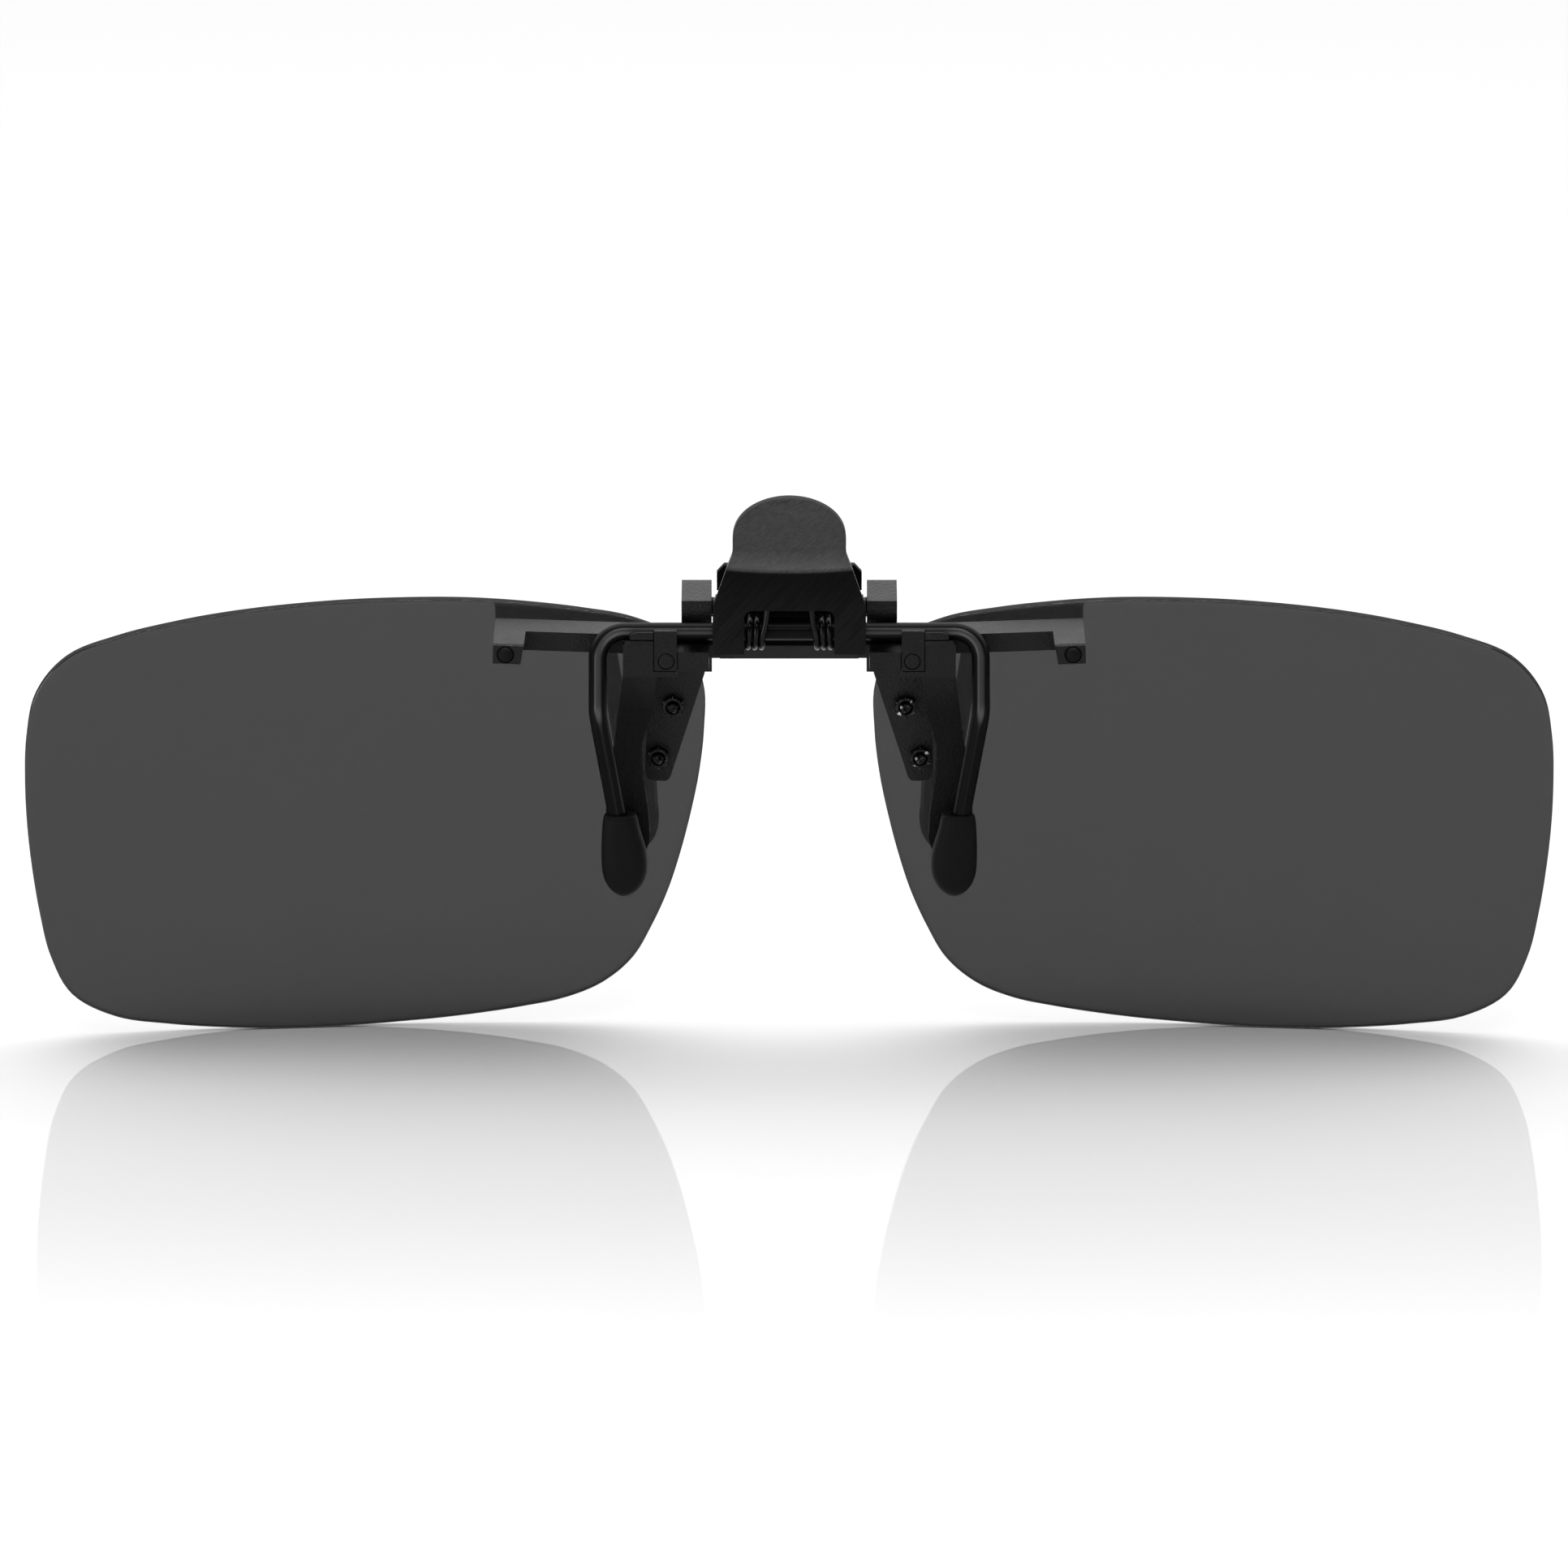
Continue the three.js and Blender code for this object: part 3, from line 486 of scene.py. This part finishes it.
def lens_rings():
    N = 288
    base = []
    for k in range(N):
        a = 2 * math.pi * k / N
        r = outline_radius(a) - 0.012
        base.append(Vector((r * math.cos(a), r * math.sin(a))))
    # inward normals of the outline, for an even rounded edge
    inward = []
    for k in range(N):
        d = base[(k + 1) % N] - base[k - 1]
        inward.append(Vector((-d.y, d.x)).normalized())

    def ring(scale, inset, depth):
        out = []
        for p, n in zip(base, inward):
            q = p * scale + n * inset
            R = LENS_R + depth
            y = math.sqrt(R * R - q.x * q.x - q.y * q.y) - LENS_R
            out.append(LENS_M @ Vector((q.x, y, q.y)))
        return out

    scales = [0.02] + [0.05 + 0.0595 * i for i in range(16)]
    rings = [ring(s, 0, 0) for s in scales]
    e = 0.22
    rings += [ring(1, e + 0.35, 0), ring(1, e, 0)]
    for a in (22, 45, 68, 90):
        a = math.radians(a)
        rings.append(ring(1, e * (1 - math.sin(a)), e * (1 - math.cos(a))))
    for a in (0, 22, 45, 68):
        a = math.radians(a)
        rings.append(ring(1, e * (1 - math.cos(a)), LENS_T - e * (1 - math.sin(a))))
    rings += [ring(1, e, LENS_T), ring(1, e + 0.35, LENS_T)]
    rings += [ring(s, 0, LENS_T) for s in reversed(scales)]
    return rings


_v, _f = rings_mesh(lens_rings())
for side, mirror in (("right", False), ("left", True)):
    ob = make("tinted_lens_" + side, _v, _f, "flip_lenses", TINT, ("lens_" + side,), 40, mirror)
    # the edge is ground, not polished
    ob.data.materials.append(GROUND)
    faces_round = 288
    first = (len(lens_rings()) // 2 - 3) * faces_round
    for p in ob.data.polygons:
        if first <= p.index < first + 5 * faces_round:
            p.material_index = 1

# ------------------------------------------------------------------ hook wire
_pts = fillet(
    [
        (-HOOK_END[0], HOOK_END[1], HOOK_END[2]),
        (-HOOK_LOW[0], HOOK_LOW[1], HOOK_LOW[2]),
        (-HOOK_KINK[0], HOOK_KINK[1], HOOK_KINK[2]),
        (-HOOK_X, 0, 0),
        (HOOK_X, 0, 0),
        HOOK_KINK,
        HOOK_LOW,
        HOOK_END,
    ],
    [6, 3, 2.4, 2.4, 3, 6],
    0.18,
)
_v, _f = rings_mesh(sweep(resample(_pts, 0.5), WIRE_R, 28))
make("bent_hook_wire", _v, _f, "squeeze_lever", WIRE, ("hook_wire",), 40)


# ------------------------------------------------------------------ rubber tips
def tip_rings():
    # height, outer x, inner x, half depth, squareness
    stations = [
        (-16.55, 15.95, 14.1, 0.75, 2.2),
        (-16.50, 16.25, 13.85, 1.02, 2.3),
        (-16.58, 16.48, 13.68, 1.20, 2.4),
        (-16.78, 16.60, 13.58, 1.30, 2.6),
        (-17.2, 16.68, 13.50, 1.36, 2.8),
        (-17.9, 16.73, 13.36, 1.42, 2.9),
        (-18.7, 16.77, 13.12, 1.48, 2.9),
        (-19.5, 16.80, 12.86, 1.54, 2.8),
        (-20.3, 16.80, 12.69, 1.58, 2.7),
        (-21.1, 16.80, 12.62, 1.60, 2.6),
        (-21.9, 16.74, 12.66, 1.58, 2.5),
        (-22.6, 16.56, 12.84, 1.50, 2.4),
        (-23.2, 16.25, 13.16, 1.34, 2.3),
        (-23.65, 15.86, 13.58, 1.10, 2.2),
        (-23.95, 15.42, 14.02, 0.78, 2.1),
        (-24.12, 15.0, 14.42, 0.40, 2.0),
    ]
    rings = []
    n = 48
    for z, xo, xi, hy, p in stations:
        cx, hx = (xo + xi) / 2, (xo - xi) / 2
        ring = []
        for k in range(n):
            a = 2 * math.pi * k / n
            c, s = math.cos(a), math.sin(a)
            ring.append(Vector((cx + hx * math.copysign(abs(c) ** (2 / p), c), -0.95 + hy * math.copysign(abs(s) ** (2 / p), s), z)))
        rings.append(ring)
    # the mouth: a round socket that the wire goes into
    d = (Vector(HOOK_LOW) - Vector(HOOK_KINK)).normalized()
    mouth = []
    for rad, deep in ((WIRE_R + 0.22, 0.0), (WIRE_R + 0.09, 0.1), (WIRE_R + 0.05, 0.5)):
        c = Vector(HOOK_LOW) - d * (0.02 - deep) + Vector((-0.13 * 0, 0, 0.18))
        ring = []
        for k in range(n):
            a = 2 * math.pi * k / n
            ring.append(Vector((c.x + rad * math.cos(a), c.y + rad * math.sin(a), c.z - deep * 0.2)))
        mouth.append(ring)
    return list(reversed(mouth)) + rings


_v, _f = rings_mesh(tip_rings())
for side, mirror in (("right", False), ("left", True)):
    tip = make("soft_tip_" + side, _v, _f, "squeeze_lever", RUBBER, ("rubber_tip_" + side,), 60, mirror)
    sub = tip.modifiers.new("smooth", "SUBSURF")
    sub.levels = sub.render_levels = 1


# ------------------------------------------------------------------ torsion spring
def spring_points():
    half = [Vector((0.0, -1.18, 3.15)), Vector((1.0, -1.18, 3.15)), Vector((1.65, -1.18, 2.9)), Vector((1.95, -1.18, 2.2)), Vector((2.1, -1.3, 1.1))]
    n = int(SPRING_TURNS * 12)
    for i in range(n + 1):
        a = math.pi + 2 * math.pi * i / 12
        half.append(Vector((2.36 + SPRING_PITCH * i / 12, SPRING_R * math.cos(a), SPRING_R * math.sin(a))))
    half += [Vector((4.1, 0.8, -1.5)), Vector((4.5, 1.5, -1.5)), Vector((4.6, 2.2, -1.5))]
    other = [Vector((-p.x, p.y, p.z)) for p in reversed(half[1:])]
    return catmull(other + half, 5)


_v, _f = rings_mesh(sweep(spring_points(), SPRING_WIRE / 2, 14))
make("coiled_spring", _v, _f, "clip_base", OXIDE, ("torsion_spring",), 40)


# ------------------------------------------------------------------ thumb lever: a flat blank, bent, then thickened
def lever_blank():
    """Outline (x, s): s runs up the sheet, 0 at the bend."""
    s0 = TAB_Z
    pts = []

    def arc(cx, cy, r, a0, a1, n):
        for k in range(n + 1):
            a = math.radians(a0 + (a1 - a0) * k / n)
            pts.append((cx + r * math.cos(a), cy + r * math.sin(a)))

    w, b = LEVER_HALF, -1.61 - s0
    pts += [(4.0, b), (w - 0.25, b)]
    arc(w - 0.25, b + 0.25, 0.25, -90, 0, 5)
    pts += [(w, 2.35 - s0)]
    # shoulder up to the tab
    pts += [(w - 0.03, 2.75 - s0), (w - 0.12, 3.05 - s0), (BEND_HALF, 0.0), (TAB_HALF + 0.2, 1.7), (TAB_HALF + 0.08, 2.15), (TAB_HALF + 0.02, 2.6), (TAB_HALF, 3.2)]
    top = TAB_LEN - TAB_HALF
    arc(0, top, TAB_HALF, 0, 180, 40)
    left = [(-x, y) for x, y in reversed(pts[: len(pts) - 41])]
    pts += left
    pts.pop()  # the window's own lower corner is added below
    pts.append((-4.0, b))
    # window, open at the bottom, with rounded top corners
    h = 2.35 - s0
    for k in range(9):
        a = math.radians(180 - 90 * k / 8)
        pts.append((-4.0 + 0.7 + 0.7 * math.cos(a), h - 0.7 + 0.7 * math.sin(a)))
    for k in range(9):
        a = math.radians(90 - 90 * k / 8)
        pts.append((4.0 - 0.7 + 0.7 * math.cos(a), h - 0.7 + 0.7 * math.sin(a)))
    return pts


def bend_lever(x, s):
    """Place of a point of the blank on the bent sheet's front face, and the face's normal (towards +Y)."""
    R = 1.4
    th = math.radians(TAB_TILT)
    # the bend is a shallow curve, higher towards the sides
    lift = 0.32 * min(1.0, abs(x / 5.6) ** 3) + 0.08
    s -= lift
    run = R * math.tan(th / 2)
    s1 = -run
    arc_len = R * th
    if s <= s1:
        y, z, a = 0.0, s, 0.0
    elif s <= s1 + arc_len:
        a = (s - s1) / R
        y = -(R - R * math.cos(a))
        z = s1 + R * math.sin(a)
    else:
        a = th
        d = s - s1 - arc_len
        y = -(R - R * math.cos(a)) - d * math.sin(a)
        z = s1 + R * math.sin(a) + d * math.cos(a)
    return Vector((x, LEVER_Y + y, TAB_Z + lift + z)), Vector((0, math.cos(a), math.sin(a)))


def build_lever():
    bm = bmesh.new()
    vs = [bm.verts.new((x, s, 0)) for x, s in lever_blank()]
    bm.faces.new(vs)
    # cuts across and along, so the blank can bend and be shaded evenly
    for s in [-6.5, -5.5, -4.5, -3.2, -2.2, -1.4] + [-0.9 + 0.1 * i for i in range(20)] + [2.2, 3.2, 4.2, 5.2, 6.4, 7.6, 8.6]:
        geom = bm.verts[:] + bm.edges[:] + bm.faces[:]
        bmesh.ops.bisect_plane(bm, geom=geom, plane_co=(0, s, 0), plane_no=(0, 1, 0), dist=1e-5)
    for x in [-5.4, -4.4, -3.3, -2.2, -1.1, 0, 1.1, 2.2, 3.3, 4.4, 5.4]:
        geom = bm.verts[:] + bm.edges[:] + bm.faces[:]
        bmesh.ops.bisect_plane(bm, geom=geom, plane_co=(x, 0, 0), plane_no=(1, 0, 0), dist=1e-5)
    for v in bm.verts:
        p, n = bend_lever(v.co.x, v.co.y)
        v.co = p
    bmesh.ops.recalc_face_normals(bm, faces=bm.faces)
    if sum(f.normal.y * f.calc_area() for f in bm.faces) < 0:
        bmesh.ops.reverse_faces(bm, faces=bm.faces)
    me = bpy.data.meshes.new("lever")
    for v in bm.verts:
        v.co *= MM
    bm.to_mesh(me)
    bm.free()
    return me


_me = build_lever()
lever = finish_piece("thumb_tab_lever", _me, "squeeze_lever", SHEET, ("thumb_lever",), 35)
_sol = lever.modifiers.new("thickness", "SOLIDIFY")
_sol.thickness = LEVER_T * MM
_sol.offset = -1
_sol.material_offset_rim = 1
lever.data.materials.append(EDGE)
_bev = lever.modifiers.new("edges", "BEVEL")
_bev.width = 0.07 * MM
_bev.segments = 3
_bev.limit_method = "ANGLE"
_bev.angle_limit = math.radians(50)


def lug_rings(x0, x1):
    """Ear that wraps the wire: a plate in the y-z plane with a hole, as an outer and an inner loop."""
    outer, inner = [], []
    n = 48
    for k in range(n):
        a = 2 * math.pi * k / n
        c, s = math.cos(a), math.sin(a)
        r = 1.5
        if c < 0:  # square towards the sheet
            r = min(1.62 / max(1e-6, -c), 1.5 / max(1e-6, abs(s)), 2.4)
        outer.append((r * c, r * s))
        inner.append(((WIRE_R + 0.04) * c, (WIRE_R + 0.04) * s))
    e = 0.06
    def grow(loop, d):
        return [(y * (1 - d / math.hypot(y, z)), z * (1 - d / math.hypot(y, z))) for y, z in loop]
    seq = [(grow(outer, e), x0), (outer, x0 + e), (outer, x1 - e), (grow(outer, e), x1), (grow(inner, -e), x1), (inner, x1 - e), (inner, x0 + e), (grow(inner, -e), x0)]
    rings = [[Vector((x, y, z)) for y, z in loop] for loop, x in seq]
    return rings + [rings[0]]


for side, mirror in (("right", False), ("left", True)):
    rings = lug_rings(LEVER_HALF - 0.5, LEVER_HALF)
    n = len(rings[0])
    m = len(rings) - 1
    verts = [tuple(p) for r in rings[:-1] for p in r]
    faces = []
    for i in range(m):
        for j in range(n):
            k = (j + 1) % n
            faces.append((i * n + j, i * n + k, ((i + 1) % m) * n + k, ((i + 1) % m) * n + j))
    make("lever_ear_" + side, verts, faces, "squeeze_lever", SHEET, (), 35, mirror)

# ------------------------------------------------------------------ small turned pieces
PX, PZ = PLATE_AT
PY = math.sqrt(LENS_R ** 2 - PX * PX - PZ * PZ) - LENS_R
_n = (LENS_M.to_3x3() @ Vector((PX, PY + LENS_R, PZ))).normalized()
_z = (Vector((0, 0, 1)) - _n * _n.z).normalized()
_x = _n.cross(_z)
PLATE_M = Matrix.Translation(LENS_M @ Vector((PX, PY, PZ))) @ Matrix((
    (_x.x, _n.x, _z.x, 0), (_x.y, _n.y, _z.y, 0), (_x.z, _n.z, _z.z, 0), (0, 0, 0, 1)))


def turned(name, profile, m, body, material, node_name, mirror=False, seg=40, smooth=35):
    v, f = rings_mesh(moved(lathe(profile, seg), m))
    return make(name, v, f, body, material, (node_name,) if node_name else (), smooth, mirror)


def along_y(x, z):
    return Matrix.Translation(Vector((x, 0, z)))


ALONG_X = Matrix(((0, 1, 0, 0), (1, 0, 0, 0), (0, 0, 1, 0), (0, 0, 0, 1)))


def at_flip(x=0.0):
    return Matrix.Translation(Vector((x, FLIP_Y, FLIP_Z))) @ ALONG_X


def rounded(r, a0, a1, e):
    """Profile of a plain cylinder with rounded edges."""
    out = [(0.02, a0), (r - e, a0)]
    for k in (30, 60, 90):
        t = math.radians(k)
        out.append((r - e + e * math.sin(t), a0 + e - e * math.cos(t)))
    for k in (0, 30, 60):
        t = math.radians(k)
        out.append((r - e + e * math.cos(t), a1 - e + e * math.sin(t)))
    out += [(r - e, a1), (0.02, a1)]
    return out


def tube_ring(r_in, r_out, a0, a1, e):
    """Closed section of a washer with rounded edges."""
    pts = []
    for cx, cy, s in ((r_out - e, a0 + e, -90), (r_out - e, a1 - e, 0), (r_in + e, a1 - e, 90), (r_in + e, a0 + e, 180)):
        for k in (0, 45, 90):
            t = math.radians(s + k)
            pts.append((cx + e * math.cos(t), cy + e * math.sin(t)))
    return pts


def washer_mesh(section, m, seg=48, hexed=None):
    """Verts and faces of a ring turned from a closed section about local Y."""
    n = len(section)
    verts, faces = [], []
    for k in range(seg):
        a = 2 * math.pi * k / seg
        for r, y in section:
            verts.append(m @ Vector((r * math.cos(a), y, r * math.sin(a))))
    for k in range(seg):
        for j in range(n):
            faces.append((k * n + j, k * n + (j + 1) % n, ((k + 1) % seg) * n + (j + 1) % n, ((k + 1) % seg) * n + j))
    return verts, faces


def nut_mesh(m, y0, y1, af, hole):
    """Hexagon nut with both ends chamfered and a countersunk hole."""
    seg = 72
    sections = []
    for k in range(seg):
        a = 2 * math.pi * k / seg
        w = (a + math.pi / 6) % (math.pi / 3) - math.pi / 6
        rim = (af / 2) / math.cos(w)
        cham = min(rim, af / 2 * 1.02)
        drop = (rim - cham) * 0.55 + 0.05
        sections.append([
            (hole + 0.1, y0), (cham - 0.04, y0), (rim - 0.005, y0 + drop), (rim, y0 + drop + 0.03),
            (rim, y1 - drop - 0.03), (rim - 0.005, y1 - drop), (cham - 0.04, y1), (hole + 0.1, y1), (hole, y1 - 0.1), (hole, y0 + 0.1),
        ])
    n = len(sections[0])
    verts, faces = [], []
    for k, sec in enumerate(sections):
        a = 2 * math.pi * k / seg
        for r, y in sec:
            verts.append(m @ Vector((r * math.cos(a), y, r * math.sin(a))))
    for k in range(seg):
        for j in range(n):
            faces.append((k * n + j, k * n + (j + 1) % n, ((k + 1) % seg) * n + (j + 1) % n, ((k + 1) % seg) * n + j))
    return verts, faces


for side, mirror in (("right", False), ("left", True)):
    for which, (sx, sz) in SCREWS.items():
        m = PLATE_M @ Matrix.Translation(Vector((sx, 0, sz)))
        head = LENS_T + 0.42
        end = -PLATE_GAP - PLATE_T - 1.15
        prof = [(0.02, end + 0.1), (0.16, end + 0.02), (SCREW_R - 0.14, end), (SCREW_R, end + 0.12), (SCREW_R, head), (SCREW_HEAD_R - 0.06, head), (SCREW_HEAD_R, head + 0.06),
                (SCREW_HEAD_R, head + 0.2), (1.05, head + 0.34), (0.85, head + 0.45), (0.55, head + 0.5), (0.3, head + 0.42), (0.26, head + 0.2), (0.02, head + 0.18)]
        turned(f"screw_{which}_{side}", prof, m, "flip_lenses", NUT, f"lens_screw_{which}_{side}", mirror, 32)
        v, f = washer_mesh(tube_ring(SCREW_R + 0.07, 1.3, LENS_T + 0.06, LENS_T + 0.34, 0.08), m, 40)
        make(f"washer_{which}_{side}", v, f, "flip_lenses", RUBBER, (f"lens_washer_{which}_{side}",), 35, mirror)
        top = -PLATE_GAP - PLATE_T - 0.06
        v, f = nut_mesh(m, top - NUT_H, top, NUT_AF, SCREW_R + 0.06)
        make(f"nut_{which}_{side}", v, f, "flip_lenses", NUT, (f"lens_nut_{which}_{side}",), 28, mirror)
    turned(f"pad_stud_{side}", [(0.02, -2.56), (0.2, -2.55), (0.38, -2.5), (0.54, -2.4), (0.65, -2.27), (0.71, -2.1), (0.72, -1.9), (0.72, -1.15), (0.66, -1.1), (0.02, -1.1)], along_y(25.2, -1.6), "clip_base", RUBBER, f"foot_pad_{side}", mirror)
    turned(f"stake_{side}", [(0.02, -1.24), (0.3, -1.25), (0.5, -1.27), (0.66, -1.23), (0.7, -1.15), (0.7, 3.8), (0.65, 3.85), (0.02, 3.85)], along_y(10.94, -2.45), "clip_base", PLASTIC, f"body_stake_{side}", mirror)
    turned(f"rivet_{side}", [(0.02, 4.4), (0.36, 4.4), (0.42, 4.46), (0.42, 6.16), (0.6, 6.16), (0.6, 6.22), (0.52, 6.38), (0.36, 6.46), (0.18, 6.5), (0.02, 6.5)], along_y(8.35, 0.65), "flip_lenses", OXIDE, f"bar_rivet_{side}", mirror)
    v, f = washer_mesh(tube_ring(0.88, 1.05, 6.25, 6.6, 0.05), at_flip(), 48)
    make(f"hinge_washer_{side}", v, f, "clip_base", OXIDE, (f"friction_washer_{side}",), 35, mirror)

turned("hinge_pin", rounded(0.8, -9.35, 9.35, 0.12), at_flip(), "clip_base", OXIDE, "flip_pin")

# ------------------------------------------------------------------ front lip of the channel the wire turns in
def lip_rings(stations, z_low):
    """Sections (x, top, grow) along X of a slab with rounded edges, its outboard end drawn in."""
    out = []
    for x, top, grow in stations:
        y0, y1, z0, z1 = -1.24 - grow, -0.9 + grow, z_low - grow, top + grow
        r = 0.07
        ring = []
        for cy, cz, a0 in ((y1 - r, z1 - r, 0), (y0 + r, z1 - r, 90), (y0 + r, z0 + r, 180), (y1 - r, z0 + r, 270)):
            for k in range(5):
                a = math.radians(a0 + 22.5 * k)
                ring.append(Vector((x, cy + r * math.cos(a), cz + r * math.sin(a))))
        out.append(ring)
    return out


LIPS = {
    "channel_lip": (((12.0, 0.12, -0.08), (12.05, 0.17, -0.03), (12.12, 0.2, 0.0), (13.4, 0.2, 0.0), (13.9, 0.12, 0.0), (14.15, -0.02, -0.02), (14.2, -0.12, -0.07)), -0.5),
    "channel_sill": (((12.0, -0.57, -0.07), (12.05, -0.57, -0.03), (12.12, -0.57, 0.0), (13.9, -0.57, 0.0), (14.5, -0.6, 0.0), (14.62, -0.64, -0.03), (14.66, -0.68, -0.06)), -1.0),
}
for name, (stations, z_low) in LIPS.items():
    _v, _f = rings_mesh(lip_rings(stations, z_low))
    for side, mirror in (("right", False), ("left", True)):
        make(name + "_" + side, _v, _f, "clip_base", SIDE, (), 35, mirror)

# ------------------------------------------------------------------ moulded and cut pieces kept from the CAD
FINISH = {"joining_bar": SHEET, "base_bridge": BRIDGE_PAINTED_SHADE, "side_body_left": SIDE, "side_body_right": SIDE, "lens_bracket_left": ARM, "lens_bracket_right": ARM}
BEVELS = {"base_bridge": 0.12, "side_body_left": 0.16, "side_body_right": 0.16, "wire_retainer_left": 0.1, "wire_retainer_right": 0.1,
          "lens_bracket_left": 0.12, "lens_bracket_right": 0.12, "joining_bar": 0.1}
for name, width in BEVELS.items():
    o = NODES[name]
    o.data.materials.clear()
    o.data.materials.append(FINISH.get(name, PLASTIC))
    d = o.modifiers.new("faces", "DECIMATE")
    d.decimate_type = "DISSOLVE"
    d.angle_limit = math.radians(0.8)
    b = o.modifiers.new("edges", "BEVEL")
    b.width = width * MM
    b.offset_type = "OFFSET"
    b.segments = 3
    b.limit_method = "ANGLE"
    b.angle_limit = math.radians(25)
    b.harden_normals = True
    b.use_clamp_overlap = True

# ------------------------------------------------------------------ floor, light, camera
lo, hi = CAD_BOX
FLOOR_Z = lo[2] - 0.00002


def floor_material():
    m = bpy.data.materials.new("pale_floor")
    m.use_nodes = True
    t = m.node_tree
    t.nodes.clear()
    out = t.nodes.new("ShaderNodeOutputMaterial")
    co = t.nodes.new("ShaderNodeTexCoord").outputs["Object"]
    sep = t.nodes.new("ShaderNodeSeparateXYZ")
    t.links.new(co, sep.inputs[0])
    # polished under the lenses, dull further towards the wearer
    c = t.nodes.new("ShaderNodeMapRange")
    c.interpolation_type = "SMOOTHSTEP"
    for k, v in (("From Min", -0.115), ("From Max", -0.040), ("To Min", 0.0), ("To Max", 0.19)):
        c.inputs[k].default_value = v
    t.links.new(sep.outputs["Y"], c.inputs["Value"])
    d = t.nodes.new("ShaderNodeBsdfDiffuse")
    d.inputs["Color"].default_value = (0.615, 0.615, 0.615, 1)
    g = t.nodes.new("ShaderNodeBsdfGlossy")
    g.inputs["Color"].default_value = (1, 1, 1, 1)
    g.inputs["Roughness"].default_value = 0.03
    mix = t.nodes.new("ShaderNodeMixShader")
    t.links.new(c.outputs["Result"], mix.inputs[0])
    t.links.new(d.outputs[0], mix.inputs[1])
    t.links.new(g.outputs[0], mix.inputs[2])
    t.links.new(mix.outputs[0], out.inputs["Surface"])
    return m


fm = bpy.data.meshes.new("floor")
fm.from_pydata([(-3, -3, FLOOR_Z), (3, -3, FLOOR_Z), (3, 3, FLOOR_Z), (-3, 3, FLOOR_Z)], [], [(0, 1, 2, 3)])
floor = bpy.data.objects.new("floor", fm)
scene.collection.objects.link(floor)
fm.materials.append(floor_material())

world = bpy.data.worlds.new("studio")
scene.world = world
world.use_nodes = True
wt = world.node_tree
bg = wt.nodes["Background"]
wco = wt.nodes.new("ShaderNodeTexCoord").outputs["Generated"]
wsep = wt.nodes.new("ShaderNodeSeparateXYZ")
wt.links.new(wco, wsep.inputs[0])


def world_range(source, a, b, lo, hi):
    n = wt.nodes.new("ShaderNodeMapRange")
    n.interpolation_type = "SMOOTHSTEP"
    for k, v in (("From Min", a), ("From Max", b), ("To Min", lo), ("To Max", hi)):
        n.inputs[k].default_value = v
    wt.links.new(source, n.inputs["Value"])
    return n.outputs["Result"]


# bright behind the lenses; on the wearer's side a low bright band under a dark studio
near = world_range(wsep.outputs["Z"], 0.02, 0.4, 0.85, 0.08)
behind = world_range(wsep.outputs["Y"], -0.2, 0.25, 0.0, 1.0)
level = wt.nodes.new("ShaderNodeMix")
level.data_type = "FLOAT"
wt.links.new(behind, level.inputs["Factor"])
wt.links.new(near, level.inputs["A"])
wt.links.new(world_range(wsep.outputs["Z"], 0.31, 0.56, 1.02, 2.8), level.inputs["B"])
wt.links.new(level.outputs["Result"], bg.inputs["Strength"])
bg.inputs["Color"].default_value = (1, 1, 1, 1)


def area(name, loc, target, size, power):
    l = bpy.data.lights.new(name, "AREA")
    l.shape = "RECTANGLE"
    l.size, l.size_y = size
    l.energy = power
    o = bpy.data.objects.new(name, l)
    scene.collection.objects.link(o)
    o.location = loc
    o.rotation_euler = (Vector(target) - Vector(loc)).to_track_quat("-Z", "Y").to_euler()
    return o


area("top_soft", (0, 0.05, 0.9), (0, 0, -0.02), (0.9, 0.8), 4.3)
area("left_card", (-0.52, -0.5, 0.13), (0, 0, -0.01), (0.16, 0.34), 1.5)
area("near_strip", (0, -0.62, 0.78), (0, 0, -0.02), (0.5, 0.035), 1.5)

AZ, EL, DIST = math.radians(0.0), math.radians(15.0), 0.8
view = Vector((math.sin(AZ) * math.cos(EL), math.cos(AZ) * math.cos(EL), -math.sin(EL)))
right = Vector((math.cos(AZ), -math.sin(AZ), 0))
up = right.cross(view)
PX_M = 0.136 / 1884
target = right * ((966 - 972.5) * PX_M) + up * ((778 - 966) * PX_M)
cam = bpy.data.cameras.new("camera")
cam.sensor_width = 36
cam.lens = 36 * DIST / (1932 * PX_M)
cam.clip_start = 0.01
camera = bpy.data.objects.new("camera", cam)
scene.collection.objects.link(camera)
camera.location = target - view * DIST
camera.rotation_euler = Matrix((right, up, -view)).transposed().to_euler()
scene.camera = camera
